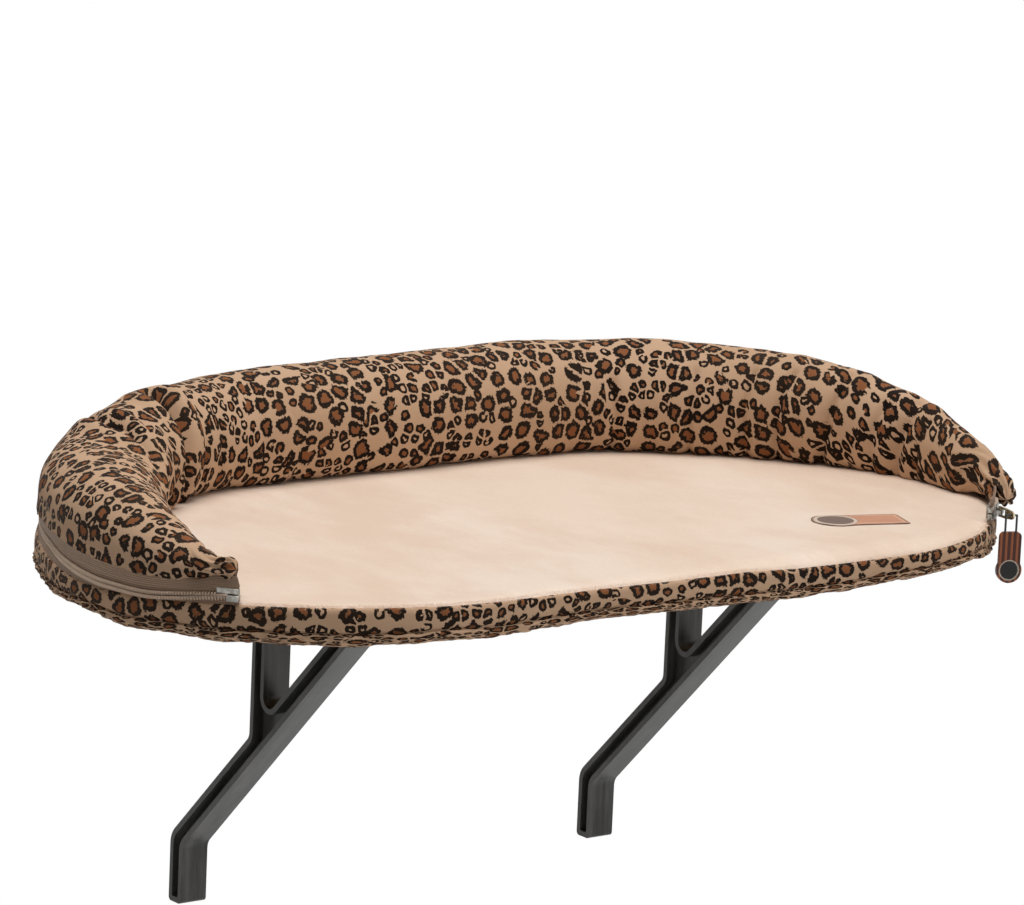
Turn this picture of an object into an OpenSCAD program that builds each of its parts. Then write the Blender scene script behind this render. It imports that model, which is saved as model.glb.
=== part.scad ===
// Cat perch for a window sill: a padded shelf with a zip-on bolster on two moulded braces.
// Millimetres. +X runs along the sill, +Y towards the window, +Z up.
// The origin is the centre of the adhesive face of the sill strip, on top of the sill.

/* [Shelf] */
// Width of the padded shelf along the sill
pad_w = 614; // [544:5:684]
// Radius of the two corners on the room side
corner_front_r = 155; // [140:1:170]
// Radius of the two corners on the window side
corner_back_r = 207; // [190:1:225]
// How far the shelf reaches over the sill, behind the face of the wall
sill_reach = 75; // [65:1:90]
// Thickness of the rigid board
board_t = 9; // [8:0.5:14]
// Thickness of the foam
foam_t = 9; // [8:0.5:20]
// Thickness of the plush top panel with its pile
plush_t = 3.8; // [3.4:0.2:6]
// Thickness of the printed side band
band_t = 1.6; // [1.4:0.1:2.2]
// Thickness of the turned-under hem
hem_t = 1.2; // [1:0.1:1.8]
// How far the hem reaches in under the board
hem_w = 48; // [40:1:60]

/* [Sill strip] */
// Length of the hook and loop strip
strip_len = 250; // [200:5:280]
// Width of the hook and loop strip
strip_w = 25; // [20:1:30]
// Distance from the back edge of the shelf to the middle of the strip
strip_back = 25; // [20:1:32]
// Thickness of each half of the strip
strip_t = 1.5; // [1.2:0.1:2]

/* [Braces] */
// Distance between the middles of the two braces
brace_pitch = 305; // [260:5:320]
// Distance from the screw plates of the braces to the elastic of the hem
plate_gap = 16; // [12:1:24]
// Width of the flanges
brace_w = 18; // [16:0.5:22]
// Depth of the upright parts, from the wall side to the room side
leg_t = 13; // [12:0.5:16]
// Depth of the slanting arm, square to its length
arm_t = 12.5; // [11.5:0.5:15]
// Thickness of the flanges
lip_t = 3.4; // [3:0.1:4]
// Thickness of the web between the flanges
web_t = 3; // [2.4:0.1:4]
// Height of the straight foot on its wall side
foot_h = 41; // [34:1:50]
// Distance from the wall to the post, which leaves room for the front of the sill
post_gap = 79; // [70:1:85]
// Slope of the arm above the horizontal
arm_deg = 44.5; // [43:0.5:47]
// Width of the screw plate under the board
plate_w = 44; // [42:1:50]
// Thickness of the screw plate
plate_t = 4; // [3.5:0.5:6]
// Distance between the screws across a brace
screw_dx = 30; // [29:0.5:32]
// Distance between the screws along a brace
screw_dy = 104; // [96:1:112]
// Diameter of the screw shank
screw_d = 3.8; // [3.4:0.1:4.4]
// Diameter of the screw head
screw_head_d = 8; // [7:0.2:9]

/* [Bolster] */
// Height of the bolster above the plush at its highest
bolster_h = 66; // [58:1:80]
// Width of the bolster at its widest
bolster_w = 72; // [62:1:84]
// How far its outer side stays inside the rim of the shelf
bolster_inset = 1.5; // [1:0.5:4]
// Turn of the front corner that the bolster and its zip go round
zip_end_deg = 35; // [30:1:40]
// Turn that the zip goes on past the right-hand end of the bolster
zip_over_deg = 18; // [0:1:20]

/* [Zip] */
// Thickness of the zip tape
tape_t = 1; // [0.8:0.1:1.2]
// Height of the lower tape that shows
tape_low_h = 5.3; // [5:0.1:7]
// Height of the upper tape that shows
tape_up_h = 5.2; // [4.6:0.1:7]
// Height of one row of teeth
tooth_h = 1.9; // [1.7:0.1:2.3]
// Thickness of a row of teeth, square to the tape
tooth_t = 2.8; // [2.4:0.1:3.2]
// Gap between the two rows, in which the divider of the slider runs
row_gap = 1; // [0.9:0.1:1.3]
// Length of the slider
slider_len = 14; // [12:0.5:16]
// Thickness of the slider's plates
slider_t = 1.2; // [1:0.1:1.4]

/* [Pull] */
// Distance from the bar of the link to its eye
link_len = 12; // [11:0.5:14]
// Thickness of the link
link_t = 1; // [0.9:0.1:1.2]
// Diameter of the wire loop
loop_d = 1.3; // [1.2:0.1:1.5]
// Width of the wire loop between the middles of its legs
loop_w = 6.8; // [6.4:0.2:7.6]
// Length of the wire loop that shows
loop_len = 10; // [7:0.5:12]
// Width of the tag
tag_w = 13.4; // [12.6:0.2:15]
// Diameter of the round end of the tag
disc_d = 15.6; // [14.6:0.2:17]
// Length of the tag
tag_len = 31; // [28:1:36]
// Thickness of the tag
tag_t = 2.8; // [2.6:0.1:3.6]

/* [Label] */
// Length of the sewn label
label_len = 58; // [45:1:70]
// Width of the sewn label
label_w = 29; // [18:1:32]
// Thickness of the sewn label
label_t = 0.8; // [0.6:0.1:1.2]
// Turn of the label on the shelf
label_turn = -19; // [-40:1:10]
// Distance from the middle of the label to the end of the shelf
label_end = 135; // [125:1:145]
// Distance from the middle of the label to the front edge of the shelf
label_front = 66.5; // [60:0.5:75]

/* [Hidden] */

// Clearances and small allowances
fit = 0.3;
screw_fit = 0.05;
hole_fit = 0.4;
row_fit = 0.15;
eye_fit = 0.6;
cut = 1;

// Levels, from the sill upwards
hem_z = 2 * strip_t;
board_z = hem_z + hem_t;
foam_z = board_z + board_t;
plush_z = foam_z + foam_t;
plush_top_z = plush_z + plush_t;

// Plan of the shelf: four corner arcs that meet on one line across its widest place
back_y = strip_back;
wide_y = back_y - corner_back_r;
front_y = wide_y - corner_front_r;
wall_y = back_y - sill_reach;
front_cx = pad_w / 2 - corner_front_r;
back_cx = pad_w / 2 - corner_back_r;
plan_fn = 180;

// Plan of the shelf, drawn in by an inset
module plan(inset = 0) {
  front_r = corner_front_r - inset;
  back_r = corner_back_r - inset;
  for (side = [-1, 1]) {
    translate([side * front_cx, wide_y]) circle(r = front_r, $fn = plan_fn);
    intersection() {
      translate([side * back_cx, wide_y]) circle(r = back_r, $fn = plan_fn);
      translate([-pad_w, wide_y]) square([2 * pad_w, corner_back_r + cut]);
    }
  }
  translate([-front_cx, wide_y - front_r]) square([2 * front_cx, front_r]);
  translate([-back_cx, wide_y]) square([2 * back_cx, back_r]);
}

// A flat piece that follows the plan of the shelf
module slab(inset, z, t) {
  translate([0, 0, z]) linear_extrude(t) plan(inset);
}

// Sweeps a profile, drawn as [distance outside the rim, height], round one corner arc
module corner_sweep(cx, r, from_deg, to_deg) {
  translate([cx, wide_y, 0]) rotate([0, 0, from_deg])
    rotate_extrude(angle = to_deg - from_deg, $fn = plan_fn) translate([r, 0]) children();
}

// Sweeps a profile along a straight edge, from x = -half to x = half
module edge_sweep(half, y, turn) {
  translate([0, y, 0]) rotate([0, 0, turn]) translate([-half, 0, 0])
    rotate([90, 0, 90]) linear_extrude(2 * half) children();
}

// Sweeps a profile round the window side of the rim and a part of each front corner
module back_run(front_deg) {
  corner_sweep(front_cx, corner_front_r, -front_deg, 0) children();
  corner_sweep(back_cx, corner_back_r, 0, 90) children();
  edge_sweep(back_cx, back_y, 0) children();
  corner_sweep(-back_cx, corner_back_r, 90, 180) children();
  corner_sweep(-front_cx, corner_front_r, 180, 180 + front_deg) children();
}

// Sweeps a profile round the whole rim
module full_run() {
  back_run(90) children();
  edge_sweep(front_cx, front_y, 180) children();
}

// A rectangle in a profile, from its inner lower corner
module bar(from, size) {
  translate(from) square(size);
}

// Rigid shelf, with a pilot hole for each brace screw
board_inset = band_t + fit;
screw_len = 12;
pilot_depth = screw_len - plate_t + fit;
module shelf_board() {
  color("burlywood") difference() {
    slab(board_inset, board_z, board_t);
    for (side = [-1, 1]) at_screws(side)
      translate([0, 0, board_z - cut]) cylinder(d = screw_d + 2 * screw_fit, h = pilot_depth + cut, $fn = 32);
  }
}

// Foam on the board
module foam_pad() {
  color("khaki") slab(board_inset, foam_z, foam_t);
}

// Plush panel with a rounded edge, which also holds the sewn label
plush_inset = band_t + 2 * fit;
module plush_top() {
  edge_r = plush_t - fit;
  from = -plush_inset - edge_r;
  color("bisque") {
    slab(plush_inset + edge_r, plush_z, plush_t);
    full_run() union() {
      intersection() {
        translate([from, plush_z + plush_t - edge_r]) circle(r = edge_r, $fn = 32);
        bar([from, plush_z], [edge_r, plush_t]);
      }
      bar([from, plush_z], [edge_r, plush_t - edge_r]);
      bar([from - edge_r, plush_z], [edge_r, plush_t]);
    }
  }
}

// Printed band round the edge, with its lower corner rounded where it turns under
turn_r = 2.6;
turn_w = 3.2;
module side_band() {
  color("peru") full_run() difference() {
    union() {
      bar([-turn_w, hem_z], [turn_w, hem_t]);
      bar([-band_t, hem_z], [band_t, plush_z - hem_z]);
    }
    difference() {
      bar([-turn_r, hem_z - cut], [turn_r + cut, turn_r + cut]);
      translate([-turn_r, hem_z + turn_r]) circle(r = turn_r, $fn = 48);
    }
  }
}

// Turned-under part of the cover, open in the middle for the braces
module underside_hem() {
  color("sienna") full_run() bar([-hem_w, hem_z], [hem_w - turn_w - fit, hem_t]);
}

// Flat elastic along the inner edge of the hem
elastic_w = 7;
elastic_t = 1;
module hem_elastic() {
  color("ivory") full_run()
    bar([-hem_w - elastic_w, hem_z + hem_t - elastic_t], [elastic_w, elastic_t]);
}

// Plain woven label on the plush
label_x = pad_w / 2 - label_end;
label_y = front_y + label_front;
label_corner = 3;
module sewn_label() {
  color("saddlebrown") translate([label_x, label_y, plush_top_z]) rotate([0, 0, label_turn])
    linear_extrude(label_t) rounded_rect(label_len, label_w, label_corner);
}

// Rectangle with round corners about its middle
module rounded_rect(length, width, r) {
  square([length - 2 * r, width], center = true);
  square([length, width - 2 * r], center = true);
  for (x = [-1, 1], y = [-1, 1])
    translate([x * (length / 2 - r), y * (width / 2 - r)]) circle(r = r, $fn = 32);
}

// Halves of the hook and loop strip: one is sewn under the hem, one sticks to the sill
strip_corner = 3;
module strip(z) {
  translate([0, 0, z]) linear_extrude(strip_t) rounded_rect(strip_len, strip_w, strip_corner);
}
module sill_loop_strip() {
  color("dimgray") strip(strip_t);
}
module sill_hook_strip() {
  color("black") strip(0);
}

// Side view of a brace as [distance from the wall, height above the foot].
// Its corners go round from the foot, up the room side, and down the wall side.
arm_rise = tan(arm_deg);
arm_down = arm_t / cos(arm_deg);
plate_front = 14;
arm_top = wall_y - front_y - hem_w - elastic_w - plate_gap - plate_front;
top_h = foot_h - arm_down + arm_top * arm_rise;
knee_out_h = foot_h;
knee_in_h = foot_h + leg_t * arm_rise - arm_down;
post_knee_h = foot_h + post_gap * arm_rise;
post_in = post_gap + leg_t;
brace_outline = [
  [0, 0], [leg_t, 0], [leg_t, knee_in_h], [arm_top, top_h], [post_gap, top_h],
  [post_gap, post_knee_h], [0, knee_out_h]
];
brace_round = [2.5, 2.5, 9, 0, 0, 7, 14];
// Opening between the post, the arm and the top
window_top_h = top_h - leg_t;
window_outline = [
  [post_in, foot_h + post_in * arm_rise],
  [(window_top_h - foot_h) / arm_rise, window_top_h],
  [post_in, window_top_h]
];
window_round = [6, 3, 3];

// Moves each edge of an outline inwards by d
function edge_normal(p, i) =
  let (a = p[i], b = p[(i + 1) % len(p)], v = b - a) [-v[1], v[0]] / norm(v);
function drawn_in(p, d) = [
  for (i = [0:len(p) - 1])
    let (m = edge_normal(p, (i + len(p) - 1) % len(p)), n = edge_normal(p, i))
      p[i] + d * (m + n) / (1 + m * n)
];
// Replaces each corner of an outline by an arc; corners with a radius of 0 stay sharp
arc_steps = 8;
least_r = 1.2;
function arc_points(p, i, radius, d) =
  let (
    a = p[(i + len(p) - 1) % len(p)], b = p[i], c = p[(i + 1) % len(p)],
    u = (a - b) / norm(a - b), v = (c - b) / norm(c - b),
    half = acos(u * v) / 2, mid = (u + v) / norm(u + v),
    way = u[0] * v[1] - u[1] * v[0] > 0 ? -1 : 1,
    r = max(radius - way * d, least_r), sweep = way * (180 - 2 * half),
    centre = b + mid * r / sin(half), start = b + u * r / tan(half) - centre
  ) [
    for (k = [0:arc_steps])
      let (t = sweep * k / arc_steps)
        centre + [start[0] * cos(t) - start[1] * sin(t), start[0] * sin(t) + start[1] * cos(t)]
  ];
// An outline moved inwards by d, with its corners rounded to match
function outline(p, radii, d = 0) =
  let (q = drawn_in(p, d)) [
    for (i = [0:len(q) - 1]) each radii[i] == 0 ? [q[i]] : arc_points(q, i, radii[i], d)
  ];

// Solid web and flanges of a brace in its side view, at a stated width
module brace_slice(width) {
  rotate([90, 0, 270]) translate([0, 0, -width / 2]) linear_extrude(width) children();
}
screw_y = wall_y - post_gap - leg_t / 2 - screw_dy / 2;
plate_back = 12;
plate_corner = 7;
module brace() {
  pocket = (brace_w - web_t) / 2;
  difference() {
    brace_slice(brace_w) difference() {
      polygon(outline(brace_outline, brace_round));
      polygon(outline(window_outline, window_round));
    }
    for (side = [-1, 1]) translate([side * (web_t + pocket + cut) / 2, 0, 0])
      brace_slice(pocket + cut) difference() {
        polygon(outline(brace_outline, brace_round, lip_t));
        polygon(outline(window_outline, window_round, -lip_t));
      }
  }
  screw_plate();
}

// Plate that lies under the board, with its four screw holes
module screw_plate() {
  from_y = -post_gap + plate_back;
  to_y = -arm_top - plate_front;
  difference() {
    translate([0, (from_y + to_y) / 2, top_h - plate_t]) linear_extrude(plate_t)
      rounded_rect(plate_w, from_y - to_y, plate_corner);
    for (x = [-1, 1], y = [-1, 1])
      translate([x * screw_dx / 2, screw_y - wall_y + y * screw_dy / 2, top_h - plate_t - cut])
        cylinder(d = screw_d + hole_fit, h = plate_t + 2 * cut, $fn = 32);
  }
}

module placed_brace(side) {
  color("dimgray") translate([side * brace_pitch / 2, wall_y, board_z - top_h]) brace();
}
module brace_left() {
  placed_brace(-1);
}
module brace_right() {
  placed_brace(1);
}

// Places of the four screws of a brace
module at_screws(side) {
  for (x = [-1, 1], y = [-1, 1])
    translate([side * brace_pitch / 2 + x * screw_dx / 2, screw_y + y * screw_dy / 2, 0]) children();
}

// Pan-head screws with a cross recess
screw_head_h = 2.6;
recess_w = 1.1;
recess_l = 4.4;
recess_h = 1.5;
module brace_screws(side) {
  color("silver") at_screws(side) translate([0, 0, board_z - plate_t]) difference() {
    union() {
      cylinder(d = screw_d, h = screw_len, $fn = 32);
      rotate([180, 0, 0]) rotate_extrude($fn = 48) pan_head();
    }
    translate([0, 0, -screw_head_h - cut]) linear_extrude(recess_h + cut) {
      square([recess_l, recess_w], center = true);
      square([recess_w, recess_l], center = true);
    }
  }
}
// Half profile of a pan head: a flat face with a round edge
module pan_head() {
  edge = screw_head_h / 2;
  r = screw_head_d / 2;
  square([r - edge, screw_head_h]);
  square([r, screw_head_h - edge]);
  translate([r - edge, screw_head_h - edge]) circle(r = edge, $fn = 32);
}
module brace_screws_left() {
  brace_screws(-1);
}
module brace_screws_right() {
  brace_screws(1);
}

// Zip: both tapes stand on the rim, with a row of teeth on the edge of each
zip_off = -band_t / 2 - fit;
tooth_low_z = plush_z + tape_low_h;
tooth_up_z = tooth_low_z + tooth_h + row_gap;
tape_up_z = tooth_up_z + tooth_h;
zip_r = corner_front_r + zip_off;
function along(length) = length / zip_r * 180 / PI;
stop_len = 3;
box_len = 7;
pin_len = 13;
stop_deg = along(stop_len + fit);
box_deg = along(box_len + fit);
pin_deg = along(pin_len);

module tape_profile(z, h) {
  bar([zip_off - tape_t / 2, z], [tape_t, h]);
}
// Row of teeth, as the bead that the single teeth make up; it ends at the stop and at the box
module teeth_profile(z) {
  bevel = tooth_h / 4;
  half = tooth_t / 2;
  translate([zip_off, z]) polygon([
    [-half + bevel, 0], [half - bevel, 0], [half, bevel], [half, tooth_h - bevel],
    [half - bevel, tooth_h], [-half + bevel, tooth_h], [-half, tooth_h - bevel], [-half, bevel]
  ]);
}
module teeth_run(z, left_deg) {
  corner_sweep(front_cx, corner_front_r, right_end + stop_deg, 0) teeth_profile(z);
  corner_sweep(back_cx, corner_back_r, 0, 90) teeth_profile(z);
  edge_sweep(back_cx, back_y, 0) teeth_profile(z);
  corner_sweep(-back_cx, corner_back_r, 90, 180) teeth_profile(z);
  corner_sweep(-front_cx, corner_front_r, 180, 180 + zip_end_deg - left_deg) teeth_profile(z);
}
// Tape standing on the rim, as a thin wall that stops at both ends of the zip
module tape(z, h) {
  far = pad_w;
  right = end_line(far, zip_end_deg + zip_over_deg);
  left = end_line(far, zip_end_deg);
  translate([0, 0, z]) linear_extrude(h) difference() {
    plan(-zip_off - tape_t / 2);
    plan(-zip_off + tape_t / 2);
    polygon([
      [front_cx, wide_y], [-front_cx, wide_y], [-left[0], left[1]],
      [-left[0], -2 * far], [right[0], -2 * far], right
    ]);
  }
}
function end_line(reach, turn) = [front_cx + reach * cos(turn), wide_y - reach * sin(turn)];
module zip_tape_lower() {
  color("tan") tape(plush_z, tape_low_h);
}
module zip_tape_upper() {
  color("tan") tape(tape_up_z, tape_up_h);
}
module zip_teeth_lower() {
  color("rosybrown") teeth_run(tooth_low_z, box_deg);
}
module zip_teeth_upper() {
  color("rosybrown") teeth_run(tooth_up_z, pin_deg);
}

// Clamp on a tape at one end of the zip, cut out for the tape that it holds
module clamp(cx, from_deg, to_deg, z, h, t, tape_z, tape_h) {
  corner_sweep(cx, corner_front_r, from_deg, to_deg) difference() {
    bar([zip_off - t / 2, z], [t, h]);
    tape_profile(tape_z, tape_h);
  }
}
stop_t = 2.6;
stop_bite = 1.2;
stop_h = tooth_h + stop_bite;
right_end = -zip_end_deg - zip_over_deg;
left_end = 180 + zip_end_deg;
module zip_stop_lower() {
  color("silver") clamp(front_cx, right_end, right_end + stop_deg - along(fit), tooth_low_z - stop_bite,
    stop_h, stop_t, plush_z, tape_low_h);
}
module zip_stop_upper() {
  color("silver") clamp(front_cx, right_end, right_end + stop_deg - along(fit), tooth_up_z,
    stop_h, stop_t, tape_up_z, tape_up_h);
}
box_t = 4.2;
pin_t = 2;
module zip_box() {
  color("silver") clamp(-front_cx, left_end - box_deg + along(fit), left_end, tooth_low_z - stop_bite,
    stop_h + row_gap / 2, box_t, plush_z, tape_low_h);
}
module zip_pin() {
  color("silver") clamp(-front_cx, left_end - pin_deg, left_end, tooth_up_z, stop_h, pin_t,
    tape_up_z, tape_up_h);
}

// Rim of the shelf under the bolster, as [x, y, outward angle] at a distance s from its left end
front_arc = corner_front_r * zip_end_deg * PI / 180;
back_arc = corner_back_r * PI / 2;
rim_len = 2 * (front_arc + back_arc + back_cx);
function on_arc(cx, r, deg) = [cx + r * cos(deg), wide_y + r * sin(deg), deg];
function rim_half(s) =
  s < front_arc ? on_arc(front_cx, corner_front_r, -zip_end_deg + s / corner_front_r * 180 / PI)
  : s < front_arc + back_arc ? on_arc(back_cx, corner_back_r, (s - front_arc) / corner_back_r * 180 / PI)
  : [back_cx - (s - front_arc - back_arc), back_y, 90];
function rim_at(s) =
  s <= rim_len / 2 ? let (p = rim_half(s)) [-p[0], p[1], 180 - p[2]] : rim_half(rim_len - s);

// Bolster: a stuffed tube that swells from both ends and is drawn in at its folds.
// Its outer edge is sewn to the upper tape, and it lies on the plush from there inwards.
ring_count = 60;
// Its height and width at places along the rim, all as shares, from the left end to the right
place_shares = [
  0, 0.02, 0.05, 0.1, 0.16, 0.22, 0.28, 0.35, 0.43, 0.6, 0.75, 0.82, 0.87, 0.92, 0.96, 0.985, 1
];
height_shares = [
  0.27, 0.37, 0.5, 0.66, 0.74, 0.77, 0.82, 0.92, 0.99, 1, 0.99, 0.95, 0.85, 0.69, 0.53, 0.43, 0.33
];
width_shares = [
  0.27, 0.4, 0.58, 0.8, 0.95, 1, 1, 1, 1, 1, 1, 0.88, 0.7, 0.47, 0.36, 0.31, 0.26
];
// Places of the folds along the rim, as shares of its length, and how deep each one is
fold_shares = [0.165, 0.245, 0.335, 0.5, 0.665, 0.755, 0.84];
fold_depth_shares = [0.1, 0.14, 0.1, 0.05, 0.08, 0.1, 0.14];
fold_w = 12;
bolster_z = plush_top_z + fit;
seam_z = tape_up_z + tape_up_h + fit;
seam_x = zip_off + tape_t / 2;
seam_in_x = zip_off - tape_t / 2 - fit;
foot_x = -12;
least_w = 17;
least_rise = 4;
tip_out = 0.4;
function table(s, shares) = lookup(s / rim_len, [for (i = [0:len(shares) - 1]) [place_shares[i], shares[i]]]);
function folded(s) = max([
  for (i = [0:len(fold_shares) - 1])
    let (d = (s - fold_shares[i] * rim_len) / fold_w) fold_depth_shares[i] * exp(-d * d)
]);
// Quarter of an ellipse about [x, z] from one angle to the next, without its last point
function quarter(x, z, a, b, from_deg, steps) = [
  for (k = [0:steps - 1]) let (t = from_deg + 90 * k / steps) [x + a * cos(t), z + b * sin(t)]
];
// Section at a distance s, as [distance outside the rim, height]
function section(s) =
  let (
    fold = folded(s), width = table(s, width_shares), w = max(least_w, bolster_w * width),
    rise = max(least_rise, bolster_z + bolster_h * table(s, height_shares) - seam_z),
    out_x = tip_out - (bolster_inset + tip_out) * width, in_x = -w * (1 - fold / 2),
    mid = (out_x + in_x) / 2, top = seam_z + rise * (1 - fold / 4),
    out_z = seam_z + rise * 0.32, in_z = bolster_z + (top - bolster_z) * 0.42
  )
  concat(
    [[seam_x, seam_z], [(seam_x + 3 * out_x) / 4, (seam_z + out_z) / 2]],
    quarter(mid, out_z, out_x - mid, top - out_z, 0, 4),
    quarter(mid, in_z, mid - in_x, top - in_z, 90, 4),
    quarter(in_x + w / 6, in_z, w / 6, in_z - bolster_z, 180, 3),
    [[in_x + w / 6, bolster_z], [foot_x, bolster_z], [seam_in_x, seam_z]]
  );
ring_sides = 16;
function section_at(s) =
  let (p = rim_at(s)) [for (q = section(s)) [p[0] + q[0] * cos(p[2]), p[1] + q[0] * sin(p[2]), q[1]]];
module bolster_cushion() {
  points = [for (j = [0:ring_count]) each section_at(rim_len * j / ring_count)];
  first_end = [for (k = [0:ring_sides - 1]) ring_sides - 1 - k];
  last_end = [for (k = [0:ring_sides - 1]) ring_count * ring_sides + k];
  walls = [
    for (j = [0:ring_count - 1], k = [0:ring_sides - 1])
      let (
        a = j * ring_sides + k, b = j * ring_sides + (k + 1) % ring_sides,
        c = b + ring_sides, d = a + ring_sides
      )
      each [[a, b, c], [a, c, d]]
  ];
  color("peru") polyhedron(points, concat([first_end, last_end], walls), convexity = 6);
}

// Slider: two plates joined by the divider between the rows, with lips under the lower row
slider_gap = 0.25;
slider_low_z = plush_top_z + fit;
slider_high_z = tape_up_z + slider_t + fit;
slider_deg = along(slider_len);
slider_from = right_end + stop_deg;
slider_mid = slider_from + slider_deg / 2;
plate_off = tooth_t / 2 + slider_gap;
module slider_profile() {
  h = slider_high_z - slider_low_z;
  lip_top = tooth_low_z - row_fit;
  for (side = [-1, 1]) translate([zip_off, 0]) mirror([side < 0 ? 1 : 0, 0]) {
    bar([plate_off, slider_low_z], [slider_t, h]);
    bar([tape_t / 2 + fit, slider_low_z], [plate_off + slider_t - tape_t / 2 - fit, lip_top - slider_low_z]);
    bar([0, tooth_low_z + tooth_h + row_fit], [plate_off + cut / 2, row_gap - 2 * row_fit]);
  }
}
// Frame of the slider: x outwards, y back along the rim, at the middle of the zip's height
zip_mid_z = tooth_low_z + tooth_h + row_gap / 2;
module at_slider() {
  translate([front_cx, wide_y, zip_mid_z]) rotate([0, 0, slider_mid]) translate([zip_r, 0, 0]) children();
}
bridge_w = 2.4;
bridge_t = 1;
bridge_leg = 1.1;
bridge_gap = 2.5;
bridge_len = 9.4;
bridge_x = plate_off + slider_t;
pivot_x = bridge_x + bridge_gap * 0.52;
module zip_slider() {
  color("silver") {
    corner_sweep(front_cx, corner_front_r, slider_from, slider_from + slider_deg) slider_profile();
    at_slider() translate([0, 0, -bridge_w / 2]) linear_extrude(bridge_w) bridge_shape();
  }
}
// Bridge over the outer plate, from above; its feet sink into the plate
bridge_sink = 0.3;
module bridge_shape() {
  out = bridge_x + bridge_gap + bridge_t;
  half = bridge_len / 2;
  difference() {
    translate([bridge_x - bridge_sink, -half]) square([out - bridge_x + bridge_sink, bridge_len]);
    translate([bridge_x - cut, -half + bridge_leg]) square([bridge_gap + cut, bridge_len - 2 * bridge_leg]);
    for (side = [-1, 1]) translate([out, side * half]) rotate([0, 0, 45])
      square(bridge_t * 1.2, center = true);
  }
}

// Link: a flat frame whose bar turns in the bridge, with an eye for the wire loop
link_turn = -46;
link_h = 6.4;
link_bar = 1.4;
link_window = 5.8;
eye_r = 2.6;
module at_link() {
  at_slider() translate([pivot_x, 0, 0]) rotate([0, 0, link_turn]) children();
}
module pull_link() {
  window_h = bridge_w + 4 * fit;
  color("goldenrod") at_link() {
    cylinder(d = link_bar, h = link_h, center = true, $fn = 32);
    rotate([90, 0, 0]) translate([0, 0, -link_t / 2]) linear_extrude(link_t) difference() {
      union() {
        translate([0, -link_h / 2]) square([link_window + link_bar / 2, link_h]);
        polygon([[link_window, -link_h / 2], [link_len, -eye_r], [link_len, eye_r], [link_window, link_h / 2]]);
        translate([link_len, 0]) circle(r = eye_r, $fn = 40);
      }
      translate([link_bar / 2, -window_h / 2]) square([link_window - link_bar / 2, window_h]);
      translate([link_len, 0]) circle(d = loop_d + eye_fit, $fn = 32);
    }
  }
}

// Wire loop that hangs in the eye, turned a little in it, and the tag on its legs
leg_in = 5;
loop_turn = -18;
module at_eye() {
  at_link() translate([link_len, 0, 0]) rotate([0, 0, loop_turn]) children();
}
module pull_loop() {
  color("black") at_eye() {
    rotate([90, 0, 0]) cylinder(d = loop_d, h = loop_w, center = true, $fn = 24);
    for (side = [-1, 1]) translate([0, side * loop_w / 2, 0]) {
      sphere(d = loop_d, $fn = 24);
      translate([0, 0, -loop_len - leg_in]) cylinder(d = loop_d, h = loop_len + leg_in, $fn = 24);
    }
  }
}
// Outline of the tag, with its top edge at a height of 0
tag_corner = 3;
module tag_shape() {
  translate([0, -tag_len / 2 + disc_d / 4]) rounded_rect(tag_w, tag_len - disc_d / 2, tag_corner);
  translate([0, disc_d / 2 - tag_len]) circle(d = disc_d, $fn = 64);
}
// Ring sunk into both faces of the round end
groove_d = 12.4;
groove_w = 0.8;
groove_depth = 0.35;
module pull_tag() {
  color("saddlebrown") at_eye() translate([0, 0, -loop_len]) difference() {
    rotate([90, 0, 90]) translate([0, 0, -tag_t / 2]) linear_extrude(tag_t) tag_shape();
    for (side = [-1, 1]) {
      translate([0, side * loop_w / 2, -leg_in - fit])
        cylinder(d = loop_d + 2 * screw_fit, h = leg_in + fit + cut, $fn = 24);
      translate([side * tag_t / 2, 0, disc_d / 2 - tag_len]) rotate([0, 90, 0]) difference() {
        cylinder(d = groove_d, h = 2 * groove_depth, center = true, $fn = 48);
        cylinder(d = groove_d - 2 * groove_w, h = tag_t, center = true, $fn = 48);
      }
    }
  }
}

shelf_board();
foam_pad();
plush_top();
side_band();
underside_hem();
hem_elastic();
sewn_label();
sill_loop_strip();
sill_hook_strip();
brace_left();
brace_right();
brace_screws_left();
brace_screws_right();
zip_tape_lower();
zip_teeth_lower();
zip_box();
zip_stop_lower();
bolster_cushion();
zip_tape_upper();
zip_teeth_upper();
zip_pin();
zip_stop_upper();
zip_slider();
pull_link();
pull_loop();
pull_tag();
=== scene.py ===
"""Looks of the cat perch: a padded shelf with a zip-on bolster, on two moulded braces.

Lengths in the shape functions are millimetres, as on the drawing, and become metres as a piece is made.
A place on the rim is named by s, the distance along it, clockwise from the left end of the zip.
"""

import math

import bmesh
import bpy
import numpy as np
from mathutils import Matrix, Vector, noise


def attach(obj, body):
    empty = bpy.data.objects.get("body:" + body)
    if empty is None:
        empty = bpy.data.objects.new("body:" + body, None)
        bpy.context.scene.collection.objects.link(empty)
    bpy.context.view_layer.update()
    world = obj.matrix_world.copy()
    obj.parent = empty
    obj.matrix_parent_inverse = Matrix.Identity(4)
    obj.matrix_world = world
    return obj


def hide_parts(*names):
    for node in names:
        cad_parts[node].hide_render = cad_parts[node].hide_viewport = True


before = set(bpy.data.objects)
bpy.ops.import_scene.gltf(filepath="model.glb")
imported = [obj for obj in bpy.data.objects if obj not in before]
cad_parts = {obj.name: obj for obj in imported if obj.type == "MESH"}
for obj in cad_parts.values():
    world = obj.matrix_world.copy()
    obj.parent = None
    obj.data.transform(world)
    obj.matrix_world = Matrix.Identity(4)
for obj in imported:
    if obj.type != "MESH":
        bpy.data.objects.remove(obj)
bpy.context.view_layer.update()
MM = 0.001

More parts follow.
